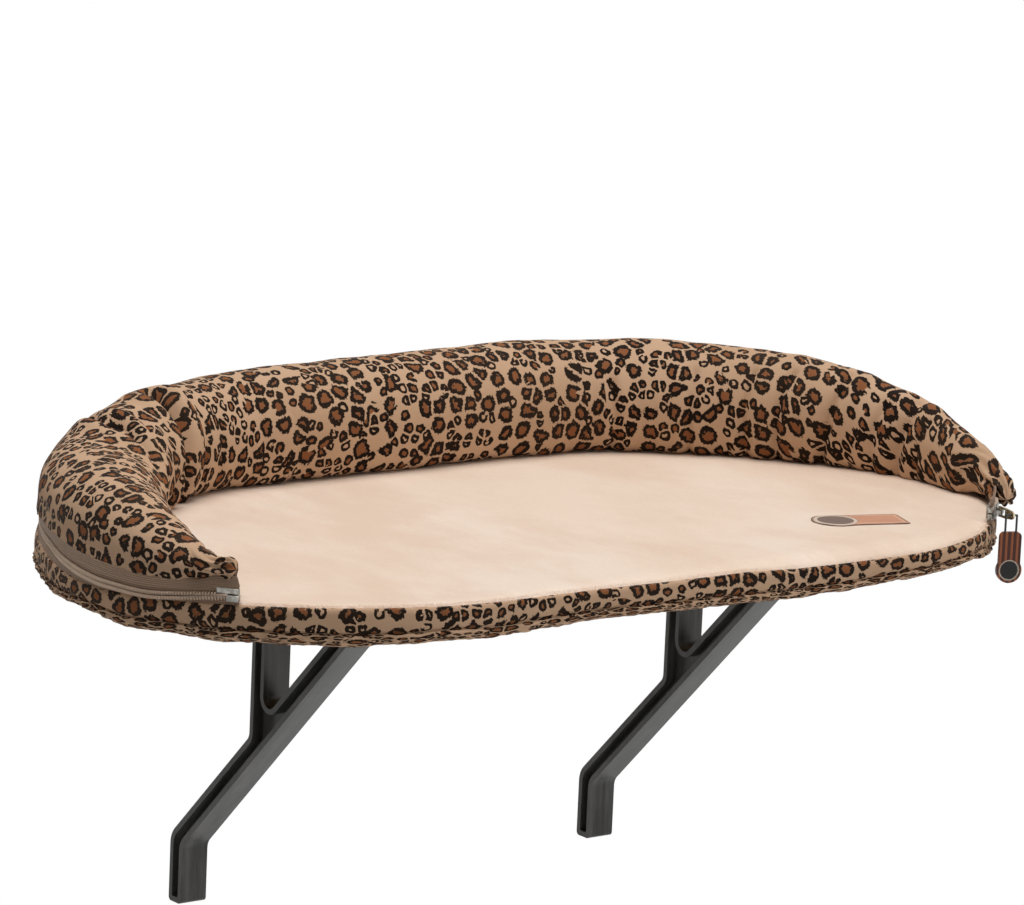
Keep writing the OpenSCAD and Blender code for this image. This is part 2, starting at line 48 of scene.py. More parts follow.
# ---------------------------------------- camera
CAMERA_PLACE = (-1.9715, -2.7721, 0.7441)
CAMERA_ANGLES = (37.001, 11.79, 2.517)  # turned to the right, tipped down and rolled, in degrees
LENS, SENSOR = 200.164, 36


def set_camera():
    yaw, pitch, roll = (math.radians(a) for a in CAMERA_ANGLES)
    ahead = Vector((math.sin(yaw) * math.cos(pitch), math.cos(yaw) * math.cos(pitch), -math.sin(pitch)))
    level = Vector((math.cos(yaw), -math.sin(yaw), 0))
    upright = level.cross(ahead)
    right = math.cos(roll) * level + math.sin(roll) * upright
    top = math.cos(roll) * upright - math.sin(roll) * level
    data = bpy.data.cameras.new("camera")
    data.lens, data.sensor_width = LENS, SENSOR
    data.clip_start, data.clip_end = 0.1, 60
    camera = bpy.data.objects.new("camera", data)
    turn = Matrix((right, top, -ahead)).transposed().to_4x4()
    camera.matrix_world = Matrix.Translation(CAMERA_PLACE) @ turn
    bpy.context.collection.objects.link(camera)
    bpy.context.scene.camera = camera


set_camera()

# ---------------------------------------- plan of the shelf
FRONT_R, BACK_R = 155, 207
FRONT_CX, BACK_CX = 152, 100
WIDE_Y, BACK_Y, FRONT_Y = -182, 25, -337
ZIP_END, ZIP_OVER = 35, 18  # degrees of both front corners that the zip covers, and of the right one beyond
ZIP_START = -9  # the tapes begin a little before the left end, further round the corner
PLUSH_Z, SEAM_Z = 22.2, 37.8  # underside of the plush, outer seam of the bolster
ZIP_OFF, ZIP_Z = -1.1, 29.9  # middle of the zip, outwards from the rim and up
TAPE_T = 0.8

# Runs of the rim in order: a centre, a radius and two angles, or for a straight run its two ends
# and the direction that faces outwards
RUNS = [
    ("arc", -FRONT_CX, FRONT_R, 180 + ZIP_END, 180),
    ("arc", -BACK_CX, BACK_R, 180, 90),
    ("line", (-BACK_CX, BACK_Y), (BACK_CX, BACK_Y), 90),
    ("arc", BACK_CX, BACK_R, 90, 0),
    ("arc", FRONT_CX, FRONT_R, 0, -90),
    ("line", (FRONT_CX, FRONT_Y), (-FRONT_CX, FRONT_Y), -90),
    ("arc", -FRONT_CX, FRONT_R, -90, ZIP_END - 180),
]


def run_length(run):
    if run[0] == "arc":
        return math.radians(abs(run[4] - run[3])) * run[2]
    return math.dist(run[1], run[2])


RIM = sum(run_length(run) for run in RUNS)
ZIP_RUN = 2 * run_length(RUNS[0]) + 2 * run_length(RUNS[1]) + 2 * BACK_CX
COIL_END = ZIP_RUN + FRONT_R * math.radians(ZIP_OVER) - 3.5


def run_at(s):
    """The run of the rim that s lies on, and the share of it that lies behind s."""
    s %= RIM
    for run in RUNS:
        length = run_length(run)
        if s <= length:
            break
        s -= length
    return run, min(s / length, 1)


def rim(s):
    """Point on the rim and its outward direction."""
    run, share = run_at(s)
    if run[0] == "arc":
        a = math.radians(run[3] + (run[4] - run[3]) * share)
        out = Vector((math.cos(a), math.sin(a), 0))
        return Vector((run[1], WIDE_Y, 0)) + run[2] * out, out
    a = math.radians(run[3])
    start, end = Vector((*run[1], 0)), Vector((*run[2], 0))
    return start.lerp(end, share), Vector((math.cos(a), math.sin(a), 0))


def bend(s):
    """How strongly the rim turns at s, from 0 on a straight run to 1 on a front corner."""
    run, _ = run_at(s)
    return FRONT_R / run[2] if run[0] == "arc" else 0


def along_rim(s, table):
    """Value at s from a table of [s, value] points; along the front edge s is given as less than 0."""
    s %= RIM
    if s > COIL_END + 10:
        s -= RIM
    return float(np.interp(s, *zip(*table)))


def ramp(value, length):
    """From 0 to 1 as value goes from 0 to length."""
    return np.clip(value / length, 0, 1)


def up(z):
    return Vector((0, 0, z))


def wavy(x, y, z):
    """Smooth noise, between about -1 and 1."""
    return noise.noise(Vector((x, y, z)))


# How much lower than drawn the soft parts hang along the rim, and how far outwards the zip leans
COIL_SAG = [
    (-60, 2), (0, 2.2), (13, 3.6), (25, 5.2), (39, 7), (47, 7.9), (55, 8.2), (89, 8.2), (109, 7.4),
    (137, 5.4), (160, 3.4), (200, 1.8), (300, 0.8), (380, 0),
]
COIL_SHIFT = [
    (0, 0), (14, 0.2), (40, 1.5), (89, 1.5), (109, 0.9), (137, -0.8), (160, -2.4), (200, -2.6),
    (260, -1.2), (320, 0),
]
BOLSTER_SAG = [
    (-60, 0), (-12, 1.6), (0, 2.6), (14, 3.6), (27, 4.5), (40, 5.4), (55, 6), (70, 6), (89, 5.6),
    (109, 5), (137, 3.6), (156, 1.6), (200, 0.5), (300, 0),
]
TOP_SAG = [
    (-600, 0), (-560, 0.8), (-530, 1.8), (-490, 2.6), (-450, 3.2), (-412, 3.2), (-375, 2.8),
    (-338, 1), (-300, 0.9), (-231, 0), (-161, -0.2), (-128, -1), (-98, -1.6), (-70, -1.5),
    (-44, -1.1), (-22, -0.5), (0, 0.2), (14, 1), (27, 1.8), (40, 2.6), (55, 3.2), (70, 4),
    (89, 5.6), (109, 6), (137, 5.4), (156, 3.8), (180, 2), (230, 0.2),
]
EDGE_SAG = [
    (-600, 0), (-575, -2.2), (-540, -4), (-500, -4.2), (-470, -3.4), (-450, -2.6), (-412, 0.8),
    (-375, 1.1), (-300, -0.6), (-270, -1.8), (-231, -3), (-190, -0.6), (-160, 1), (-130, -1.4),
    (-100, 0), (-70, 1), (-20, 1), (0, 2.6), (14, 2.6), (25, 2.3), (40, 2.3), (55, 3.6), (68, 5),
    (78, 3.4), (89, 2.2), (106, 1.3), (137, 3.4), (156, 2.6), (200, 0.8), (250, 0),
]


# ---------------------------------------- making pieces
def new_object(name, bm, material):
    mesh = bpy.data.meshes.new(name)
    bm.to_mesh(mesh)
    bm.free()
    mesh.materials.append(material)
    made = bpy.data.objects.new(name, mesh)
    bpy.context.collection.objects.link(made)
    return made


def finish_piece(name, bm, material, body, smooth=True):
    """Makes a piece from a bmesh in metres, which then rides on its body."""
    piece = new_object(name, bm, material)
    if smooth:
        piece.data.shade_smooth()
    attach(piece, body)
    return piece


def loft(rings, chart=None, ends=True):
    """Skin over closed rings of points. chart gives the cloth's own measure at ring j, side k."""
    count, last = len(rings[0]), len(rings) - 1
    bm = bmesh.new()
    layer = bm.loops.layers.uv.new("cloth") if chart else None
    bmesh.ops.create_grid(bm, x_segments=count, y_segments=last, size=1)
    marks = {}
    for vert in bm.verts:
        j, k = round((vert.co.y + 1) / 2 * last), round((vert.co.x + 1) / 2 * count)
        marks[vert] = (j, k)
        vert.co = Vector(rings[j][k % count]) * MM
    if chart:
        for face in bm.faces:
            for loop in face.loops:
                loop[layer].uv = chart(*marks[loop.vert])
    seam = [vert for vert, (j, k) in marks.items() if k in (0, count)]
    bmesh.ops.remove_doubles(bm, verts=seam, dist=0.01 * MM)
    for row in (0, last) if ends else ():
        end = [v for v in bm.verts if v.is_boundary and marks[v][0] == row]
        middle = sum((v.co for v in end), Vector()) / len(end)
        bmesh.ops.pointmerge(bm, verts=end, merge_co=middle)
    bmesh.ops.recalc_face_normals(bm, faces=bm.faces)
    return bm


def thicken(piece, thickness):
    """Gives a sheet of cloth its thickness, inwards from what is seen."""
    wall = piece.modifiers.new("cloth thickness", "SOLIDIFY")
    wall.thickness, wall.offset = thickness * MM, -1


def repeated(shape, places):
    """A small shape, copied to each of the given places."""
    pattern = bpy.data.meshes.new("pattern")
    shape.to_mesh(pattern)
    shape.free()
    bm = bmesh.new()
    for _ in places:
        bm.from_mesh(pattern)
    bm.verts.ensure_lookup_table()
    count = len(pattern.vertices)
    for i, place in enumerate(places):
        for vert in bm.verts[i * count : (i + 1) * count]:
            vert.co = place @ vert.co
    bpy.data.meshes.remove(pattern)
    return bm


def cast_piece(node, name, material, body, round_off=0, segments=2, moved=None):
    """A cleaned copy of a CAD node with its edges rounded off, in its place or moved a little from it."""
    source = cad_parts[node]
    bm = bmesh.new()
    bm.from_mesh(source.data)
    if moved:
        bmesh.ops.transform(bm, matrix=moved, verts=bm.verts)
    bmesh.ops.remove_doubles(bm, verts=bm.verts, dist=0.00001)
    bmesh.ops.dissolve_limit(bm, angle_limit=math.radians(1), verts=bm.verts, edges=bm.edges)
    piece = finish_piece(name, bm, material, body)
    if round_off:
        edge = piece.modifiers.new("rounded edges", "BEVEL")
        edge.width, edge.segments = round_off * MM, segments
        edge.limit_method, edge.angle_limit = "ANGLE", math.radians(32)
        piece.data.set_sharp_from_angle(angle=math.radians(35))
    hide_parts(node)
    return piece


# ---------------------------------------- materials
def srgb(r, g, b):
    """A colour given as 0 to 255 sRGB, as the shader wants it."""
    return tuple(((c / 255 + 0.055) / 1.055) ** 2.4 if c > 10 else c / 255 / 12.92 for c in (r, g, b)) + (1,)


class Tree:
    """Short ways to add and join the nodes of one shader tree."""

    def __init__(self, tree):
        self.tree = tree

    def node(self, kind, *inputs, out=0, sockets=None, **settings):
        """A new node's output. Its inputs are given in order, or by name or number in sockets."""
        made = self.tree.nodes.new("ShaderNode" + kind)
        for key, value in settings.items():
            setattr(made, key, value)
        for label, value in (*enumerate(inputs), *(sockets or {}).items()):
            self.feed(made.inputs[label], value)
        return made.outputs[out]

    def feed(self, socket, value):
        if isinstance(value, bpy.types.NodeSocket):
            self.tree.links.new(value, socket)
        elif value is not None:
            socket.default_value = value

    def maths(self, how, *values):
        return self.node("Math", *values, operation=how)

    def times(self, a, b):
        return self.maths("MULTIPLY", a, b)

    def plus(self, a, b):
        return self.maths("ADD", a, b)

    def minus(self, a, b):
        return self.maths("SUBTRACT", a, b)

    def length(self, x, y):
        return self.maths("SQRT", self.plus(self.times(x, x), self.times(y, y)))

    def vector(self, how, a, b=None, scale=None):
        out = int(how in ("LENGTH", "DOT_PRODUCT"))
        return self.node("VectorMath", a, b, None, scale, out=out, operation=how)

    def parts(self, where):
        return self.node("SeparateXYZ", where).node.outputs

    def noise(self, where, scale, detail=2, rough=0.5, colour=False, flat=False):
        sockets = {"Vector": where, "Scale": scale, "Detail": detail, "Roughness": rough}
        kind = "2D" if flat else "3D"
        return self.node("TexNoise", out=int(colour), sockets=sockets, noise_dimensions=kind)

    def strayed(self, start, where, scale, amount, flat=False):
        """A place, moved by noise that is read at where."""
        way = self.vector("SUBTRACT", self.noise(where, scale, 1, 0.5, True, flat), (0.5, 0.5, 0.5))
        return self.vector("ADD", start, self.vector("SCALE", way, scale=amount))

    def mix(self, share, a, b, blend="MIX"):
        return self.node("Mix", out=2, sockets={0: share, 6: a, 7: b}, data_type="RGBA", blend_type=blend)

    def span(self, value, low, high, to_low=0, to_high=1, smooth=True):
        """From to_low to to_high as value goes from low to high."""
        kind = "SMOOTHSTEP" if smooth else "LINEAR"
        return self.node("MapRange", value, low, high, to_low, to_high, interpolation_type=kind)

    def line(self, value, a, b, c, d):
        """1 where value is between b and c, and 0 below a and above d."""
        return self.times(self.span(value, a, b), self.minus(1, self.span(value, c, d)))

    def place(self, where, scale=(1, 1, 1), turn=(0, 0, 0)):
        return self.node("Mapping", where, None, turn, scale)

    def bump(self, height, strength, distance, under=None):
        sockets = {"Strength": strength, "Distance": distance, "Height": height, "Normal": under}
        return self.node("Bump", sockets=sockets)

    def group(self, effect, *inputs):
        return self.node("Group", *inputs, node_tree=effect).node.outputs


def effect_group(name, inputs, outputs):
    """An empty shader group with named sockets, and the way to fill it."""
    tree = bpy.data.node_groups.new(name, "ShaderNodeTree")
    for label, kind, value in inputs:
        socket = tree.interface.new_socket(label, in_out="INPUT", socket_type="NodeSocket" + kind)
        if value is not None:
            socket.default_value = value
    for label, kind in outputs:
        tree.interface.new_socket(label, in_out="OUTPUT", socket_type="NodeSocket" + kind)
    entry = tree.nodes.new("NodeGroupInput")
    leave = tree.nodes.new("NodeGroupOutput")
    return Tree(tree), entry.outputs, leave.inputs


def surface(name, roughness=0.6, metallic=0, **fixed):
    """A new material, the way to fill its tree, and its shader's inputs."""
    material = bpy.data.materials.new(name)
    material.use_nodes = True
    shader = material.node_tree.nodes["Principled BSDF"].inputs
    shader["Roughness"].default_value = roughness
    shader["Metallic"].default_value = metallic
    for label, value in fixed.items():
        shader[label.replace("_", " ").title().replace("Ior", "IOR")].default_value = value
    return material, Tree(material.node_tree), shader


def own_place(t):
    return t.node("TexCoord", out=3)


def cloth_place(t):
    return t.node("UVMap", uv_map="cloth")


def weave_group():
    """Plain weave: threads over and under, with uneven thickness, and painted shade that follows their
    height.
    """
    sockets = [("Place", "Vector", None), ("Threads", "Float", 1800)]
    t, given, gives = effect_group("plain weave", sockets, [("Height", "Float"), ("Shade", "Float")])
    parts = t.parts(t.vector("SCALE", given["Place"], scale=given["Threads"]))
    over, under = (t.maths("SINE", t.times(parts[i], math.pi)) for i in (0, 1))
    threads = t.maths("ABSOLUTE", t.times(over, under))
    slubs = t.noise(t.place(given["Place"], scale=(260, 900, 1)), 1, 2, 0.6)
    height = t.plus(t.times(threads, 0.75), t.times(slubs, 0.5))
    t.feed(gives["Height"], height)
    # Shade is painted shade: darker where the threads dip and where the yarn is thin, lighter on their crests
    t.feed(gives["Shade"], t.span(height, 0.2, 1.1, 0.93, 1.05, smooth=False))
    return t.tree


def cells_at(t, place, gap, least, spread, scatter=0.86):
    """Cells scattered over the cloth: how deep inside the spot of a cell a place is, three random picks,
    the middle of the cell, and on which side of it the place lies."""
    sockets = {"Vector": place, "Scale": 1, "Randomness": scatter}
    spot, wall = (
        t.node("TexVoronoi", sockets=sockets, voronoi_dimensions="2D", feature=feature).node.outputs
        for feature in ("F1", "DISTANCE_TO_EDGE")
    )
    pick = t.node("SeparateColor", spot["Color"]).node.outputs
    reach = t.plus(t.times(pick[0], spread), least)
    depth = t.maths("MINIMUM", t.minus(wall["Distance"], gap), t.minus(reach, spot["Distance"]))
    way = t.vector("NORMALIZE", t.vector("SUBTRACT", place, spot["Position"]))
    side = t.vector("NORMALIZE", t.vector("SUBTRACT", spot["Color"], (0.5, 0.5, 0.5)))
    return depth, pick, spot["Position"], t.vector("DOT_PRODUCT", way, side)


def missing(t, pick, share):
    """Large where a cell is not among the share that bears a spot."""
    return t.times(t.maths("GREATER_THAN", pick, share), 9)


def ring_and_middle(t, depth, thick, facing, opened):
    """Masks of a dark ring, open on one side where opened is 1, and of what it goes round."""
    notch = t.times(t.times(t.span(facing, 0.9, 0.95), opened), t.plus(thick, 0.04))
    inside, middle = (t.span(t.minus(depth, start), -0.012, 0.018) for start in (notch, thick))
    return t.times(inside, t.minus(1, middle)), t.times(inside, middle)


def animal_print_group():
    """Printed cotton: ragged dark rosettes round rust middles, with small rings and dots between, on tan."""
    sockets = [
        ("Place", "Vector", None),
        ("Spots", "Float", 84),
        ("Large", "Float", 0.7),
        ("Ground", "Color", srgb(207, 172, 142)),
        ("Centre", "Color", srgb(142, 90, 58)),
        ("Ring", "Color", srgb(22, 11, 5)),
    ]
    t, given, gives = effect_group("animal print", sockets, [("Color", "Color"), ("Height", "Float")])
    place = t.vector("SCALE", t.vector("MULTIPLY", given["Place"], (1, 0.98, 1)), scale=given["Spots"])
    bent = t.strayed(place, place, 1.3, 0.24, True)
    bent = t.strayed(bent, place, 6, 0.11, True)
    uneven = t.noise(place, 3.1, 1, 0.5, flat=True)
    ragged = t.times(t.minus(t.noise(place, 7.5, 2, 0.6, flat=True), 0.5), 0.2)
    large = given["Large"]
    rosettes = (0.07, 0.41, 0.12)  # gap between the cells, least size of a spot, and how much larger some are
    rings = (0.07, 0.38, 0.13, 0.68)

    depth, pick, _, facing = cells_at(t, bent, *rosettes)
    depth = t.plus(t.minus(depth, missing(t, pick[1], large)), ragged)
    opened = t.span(pick[2], 0.45, 0.451, 1, 0)
    thick = t.span(uneven, 0.3, 0.7, 0.175, 0.29, smooth=False)
    ring, middle = ring_and_middle(t, depth, thick, facing, opened)

    # Small rings in cells of their own, left out where a rosette is
    finer, apart = 1.6, (11.3, 5.9, 0)
    fine_place = t.vector("ADD", t.vector("SCALE", bent, scale=finer), apart)
    depth, pick_b, centre, facing = cells_at(t, fine_place, *rings)
    home = t.vector("SCALE", t.vector("SUBTRACT", centre, apart), scale=1 / finer)
    away, pick_home, _, _ = cells_at(t, home, *rosettes)
    away = t.minus(away, missing(t, pick_home[1], large))
    depth = t.minus(depth, t.span(away, -0.15, -0.149, 0, 9))
    opened = t.span(pick_b[2], 0.6, 0.601, 1, 0)
    thick = t.span(uneven, 0.28, 0.72, 0.2, 0.32, smooth=False)
    ring_b, middle_b = ring_and_middle(t, depth, thick, facing, opened)

    tone = t.noise(given["Place"], 14, 3, 0.55, flat=True)
    ground = t.mix(t.span(tone, 0.3, 0.7, 0, 0.35), given["Ground"], srgb(188, 151, 119))
    warm = t.times(middle_b, t.span(pick_b[1], 0.5, 0.501))
    colour = t.mix(t.maths("MAXIMUM", middle, warm), ground, given["Centre"])
    dark = t.maths("MAXIMUM", ring, ring_b)
    colour = t.mix(t.times(dark, t.span(tone, 0.25, 0.75, 1, 0.97)), colour, given["Ring"])
    t.feed(gives["Color"], colour)
    t.feed(gives["Height"], t.times(dark, -1))
    return t.tree


def mottle_group():
    """Slow, uneven change of tone over a surface, as a factor near 1, with fine grain."""
    sockets = [("Place", "Vector", None)]
    sockets += [("Patches", "Float", 12), ("Grain", "Float", 900), ("Amount", "Float", 0.1)]
    t, given, gives = effect_group("mottle", sockets, [("Factor", "Float"), ("Height", "Float")])
    slow, fine = t.noise(given[0], given["Patches"], 3, 0.55), t.noise(given[0], given["Grain"], 2, 0.6)
    both = t.plus(t.times(slow, 0.7), t.times(fine, 0.3))
    swing = t.times(t.minus(both, 0.5), t.times(given["Amount"], 2))
    t.feed(gives["Factor"], t.plus(swing, 1))
    t.feed(gives["Height"], fine)
    return t.tree


WEAVE = weave_group()
ANIMAL_PRINT = animal_print_group()
MOTTLE = mottle_group()


def toned(t, colour, factor):
    """A colour made lighter or darker by a factor near 1."""
    grey = t.node("CombineColor", factor, factor, factor)
    return t.mix(1, colour, grey, blend="MULTIPLY")


def dress(t, shader, colour, factor, *relief):
    """Gives a shader its colour, toned by a factor, and the relief that bump describes."""
    t.feed(shader["Base Color"], toned(t, colour, factor))
    t.feed(shader["Normal"], t.bump(*relief))


def simple_surface(name, roughness, colour, mottle, relief, cells=None, **fixed):
    """One colour, a little mottled; its relief is the grain of the mottling or, where given, cells."""
    material, t, shader = surface(name, roughness, **fixed)
    where = own_place(t)
    mottled = t.group(MOTTLE, where, *mottle)
    height = t.node("TexVoronoi", where, None, cells) if cells else mottled["Height"]
    dress(t, shader, srgb(*colour), mottled["Factor"], height, *relief)
    return material


def print_cotton(name, spots, fewer_left=False):
    material, t, shader = surface(name, 0.82, specular_ior_level=0.08)
    where = cloth_place(t)
    large = t.span(t.noise(where, 14, 1, 0.5, flat=True), 0.35, 0.65, 0.5, 0.9)
    if fewer_left:
        large = t.times(large, t.span(t.parts(where)[0], 0.1, 0.26, 0.7, 1))
    printed = t.group(ANIMAL_PRINT, where, spots, large)
    woven = t.group(WEAVE, where, 1900)
    creases = t.noise(t.place(where, scale=(1, 0.35, 1)), 95, 3, 0.5, flat=True)
    soft = t.bump(creases, 0.35, 0.0012)
    dress(t, shader, printed["Color"], woven["Shade"], woven["Height"], 0.35, 0.00018, soft)
    t.feed(shader["Roughness"], t.span(printed["Height"], -1, 0, 0.72, 0.86))
    return material


def plush_fleece():
    sheen = {"sheen_weight": 0.35, "sheen_roughness": 0.35, "sheen_tint": srgb(255, 240, 222)}
    material, t, shader = surface("plush fleece", 0.95, specular_ior_level=0.15, **sheen)
    where = own_place(t)
    swept = t.strayed(where, where, 9, 0.035)
    brushed = t.noise(t.place(swept, scale=(17, 9, 12), turn=(0, 0, 0.6)), 1, 4, 0.6)
    patches = t.noise(where, 5.5, 2, 0.5)
    pile = t.noise(t.place(where, scale=(1, 1, 0.4)), 1150, 3, 0.7)
    tufts = t.noise(where, 420, 3, 0.6)
    # Brushed streaks: tone from the pile's direction, and painted light on the crests of the wave that the
    # bump raises
    light = t.mix(t.span(brushed, 0.35, 0.68), srgb(240, 215, 195), srgb(250, 231, 214))
    light = t.mix(t.span(patches, 0.35, 0.7, 0, 0.3), light, srgb(238, 209, 184))
    depth = t.plus(t.times(tufts, 0.6), t.times(pile, 0.4))
    wave = t.bump(brushed, 0.5, 0.0016)
    # Painted shade: the pile is drawn darker where it is lower, lighter on the tufts
    shade = t.span(depth, 0.25, 0.75, 0.93, 1.04, smooth=False)
    dress(t, shader, light, shade, depth, 0.6, 0.0009, wave)
    return material


def zip_tape():
    """Ribbed polyester ribbon; its chart runs along the zip and away from the coil."""
    rib, thread = 0.00075, 0.0007
    material, t, shader = surface("zip tape weave", 0.7, sheen_weight=0.08, specular_ior_level=0.35)
    where = cloth_place(t)
    along, away, _ = t.parts(where)
    ribs = t.maths("SINE", t.times(away, 2 * math.pi / rib))
    cross = t.maths("SINE", t.times(t.plus(along, t.times(away, 0.6)), 2 * math.pi / thread))
    mottled = t.group(MOTTLE, where, 60, 1500, 0.16)
    # Painted shade and light on the ribs: darker in the grooves between them, lighter on their crests
    base = t.mix(t.span(ribs, -1, 0.8), srgb(134, 108, 88), srgb(160, 133, 110))
    # Painted shade: the tape is drawn dark within about a millimetre of the coil, where the coil shades it
    clear_of_coil_shade = t.span(t.maths("ABSOLUTE", away), 0.0007, 0.0013)
    base = t.mix(clear_of_coil_shade, srgb(50, 36, 28), base)
    relief = t.plus(t.times(ribs, 0.6), t.times(cross, 0.2))
    dress(t, shader, base, mottled["Factor"], relief, 0.6, 0.0003)
    return material


def metal(name, colour, worn, roughness=0.28):
    material, t, shader = surface(name, roughness, 1)
    where = own_place(t)
    mottled = t.group(MOTTLE, where, 120, 3000, 0.14)
    rubs = t.noise(where, 260, 4, 0.7)
    base = t.mix(t.span(rubs, 0.42, 0.72), srgb(*colour), srgb(*worn))
    dress(t, shader, base, *mottled, 0.12, 0.00006)
    t.feed(shader["Roughness"], t.span(rubs, 0.3, 0.75, roughness, roughness + 0.2))
    return material


def moulded_plastic():
    """Dark plastic with fine scuffs along the arms of the braces, whose lighter streaks are also a painted
    satin highlight.
    """
    arm_turn = -0.72
    material, t, shader = surface("moulded plastic", 0.42, specular_ior_level=0.2)
    where = own_place(t)
    mottled = t.group(MOTTLE, where, 9, 1500, 0.1)
    scuffs_and_sheen = t.noise(t.place(where, scale=(110, 30, 9), turn=(arm_turn, 0, 0)), 1, 5, 0.65)
    # Lighter streaks along the arms: scuffs, and a painted satin highlight
    base = t.mix(t.span(scuffs_and_sheen, 0.35, 0.8, 0, 0.6), srgb(53, 53, 52), srgb(124, 124, 121))
    dress(t, shader, base, *mottled, 0.18, 0.00012)
    t.feed(shader["Roughness"], t.span(scuffs_and_sheen, 0.3, 0.8, 0.3, 0.46))
    return material


def particle_board():
    material, t, shader = surface("board", 0.75)
    where = own_place(t)
    tint = t.node("SeparateColor", t.node("TexVoronoi", where, None, 260, out=1))
    mottled = t.group(MOTTLE, where, 20, 800, 0.2)
    base = t.mix(tint, srgb(196, 160, 112), srgb(158, 120, 78))
    dress(t, shader, base, *mottled, 0.25, 0.0002)
    return material


def plain_cloth(name, colour, threads):
    material, t, shader = surface(name, 0.85, sheen_weight=0.15)
    where = own_place(t)
    woven = t.group(WEAVE, where, threads)
    mottled = t.group(MOTTLE, where, 25, 900, 0.16)
    base = toned(t, srgb(*colour), woven["Shade"])
    dress(t, shader, base, mottled["Factor"], woven["Height"], 0.5, 0.0003)
    return material


COTTON = print_cotton("print cotton", 80, fewer_left=True)
BAND_COTTON = print_cotton("print cotton band", 84)
PLUSH = plush_fleece()
TAPE = zip_tape()
STEEL = metal("zip metal", (124, 121, 115), (184, 181, 174))
BRASS = metal("link brass", (160, 142, 112), (204, 194, 172), 0.32)
SCREW = metal("screw steel", (176, 176, 176), (214, 214, 212), 0.35)
PLASTIC = moulded_plastic()
BOARD = particle_board()
ELASTIC = plain_cloth("elastic", (226, 222, 210), 1100)
LOOP_STRIP = plain_cloth("strip fabric", (74, 72, 72), 900)
# Roughness, colour, mottling (patches, grain, amount), relief (strength, depth) and cells
COIL = simple_surface(
    "coil nylon", 0.38, (214, 190, 168), (60, 2500, 0.18), (0.2, 0.00008), specular_ior_level=0.5
)
FOAM = simple_surface("foam", 0.9, (232, 222, 190), (15, 700, 0.1), (0.6, 0.0005), 700)
HOOKS = simple_surface("hook strip", 0.6, (38, 37, 38), (30, 1200, 0.15), (0.8, 0.0006), 620)
WIRE = simple_surface("loop black", 0.35, (28, 27, 27), (150, 3000, 0.2), (0.15, 0.00005))


# ---------------------------------------- bolster
# Height and width of the bolster along the zip, as shares, from its left end to its right
PLACES = (0, 0.02, 0.05, 0.1, 0.16, 0.22, 0.28, 0.35, 0.43, 0.6, 0.75, 0.82, 0.87, 0.92, 0.96, 0.985, 1)
HEIGHTS = (0.27, 0.34, 0.49, 0.66, 0.74, 0.77, 0.82, 0.92, 0.99, 1, 0.99, 0.95, 0.85, 0.69, 0.53, 0.43, 0.33)
WIDTHS = (0.27, 0.4, 0.58, 0.8, 0.95, 1, 1, 1, 1, 1, 1, 0.88, 0.7, 0.47, 0.36, 0.25, 0.12)
BOLSTER_H, BOLSTER_W, BOLSTER_Z = 66, 72, 26.4
SIDES = 136
RING_STEP, TIP_STEP, TIP_REACH = 1.8, 0.9, 22  # the rings stand closer within a reach of both tips

# Creases, as points [distance along the zip, share of the way round from the outer seam], depth and width
CREASES = [
    ([(338, 0.31), (324, 0.43), (312, 0.55), (304, 0.68), (298, 0.8)], 16, 6.5),
    ([(261, 0.32), (238, 0.43), (206, 0.52), (176, 0.62), (150, 0.7)], 16, 7),
    ([(284, 0.36), (262, 0.45), (232, 0.56), (212, 0.68)], 5.5, 5),
    ([(290, 0.2), (262, 0.27), (236, 0.34), (222, 0.42)], 5.5, 4.5),
    ([(318, 0.5), (290, 0.58), (276, 0.68)], 2.6, 4),
    ([(246, 0.55), (226, 0.66), (214, 0.8)], 2.6, 4),
    ([(352, 0.4), (344, 0.55), (340, 0.7)], 2.2, 4.5),
    ([(372, 0.45), (366, 0.6), (368, 0.75)], 1.4, 5),
    ([(896, 0.34), (898, 0.45), (894, 0.6), (884, 0.75)], 5, 4.5),
    ([(858, 0.42), (852, 0.56), (850, 0.72)], 4, 4.5),
    ([(826, 0.44), (822, 0.58), (824, 0.74)], 3.6, 4.5),
    ([(950, 0.33), (956, 0.45), (952, 0.58), (946, 0.72)], 4.6, 5),
    ([(934, 0.44), (931, 0.58), (928, 0.72)], 2.6, 4),
    ([(972, 0.4), (970, 0.55), (966, 0.7)], 2.4, 4),
    ([(700, 0.5), (704, 0.62), (702, 0.76)], 2.6, 5),
    ([(776, 0.46), (772, 0.6), (775, 0.76)], 3, 5),
    ([(560, 0.48), (556, 0.6), (558, 0.75)], 1.2, 6),
    ([(440, 0.5), (446, 0.62), (444, 0.75)], 1.4, 6),
    ([(120, 0.56), (96, 0.66), (84, 0.78)], 1.6, 4.5),
]


def share_at(s, values):
    return float(np.interp(s / ZIP_RUN, PLACES, values))


def arc_points(x, z, a, b, start, steps):
    """A quarter of an oval round (x, z), without its last point."""
    angles = [math.radians(start + 90 * i / steps) for i in range(steps)]
    return [(x + a * math.cos(angle), z + b * math.sin(angle)) for angle in angles]


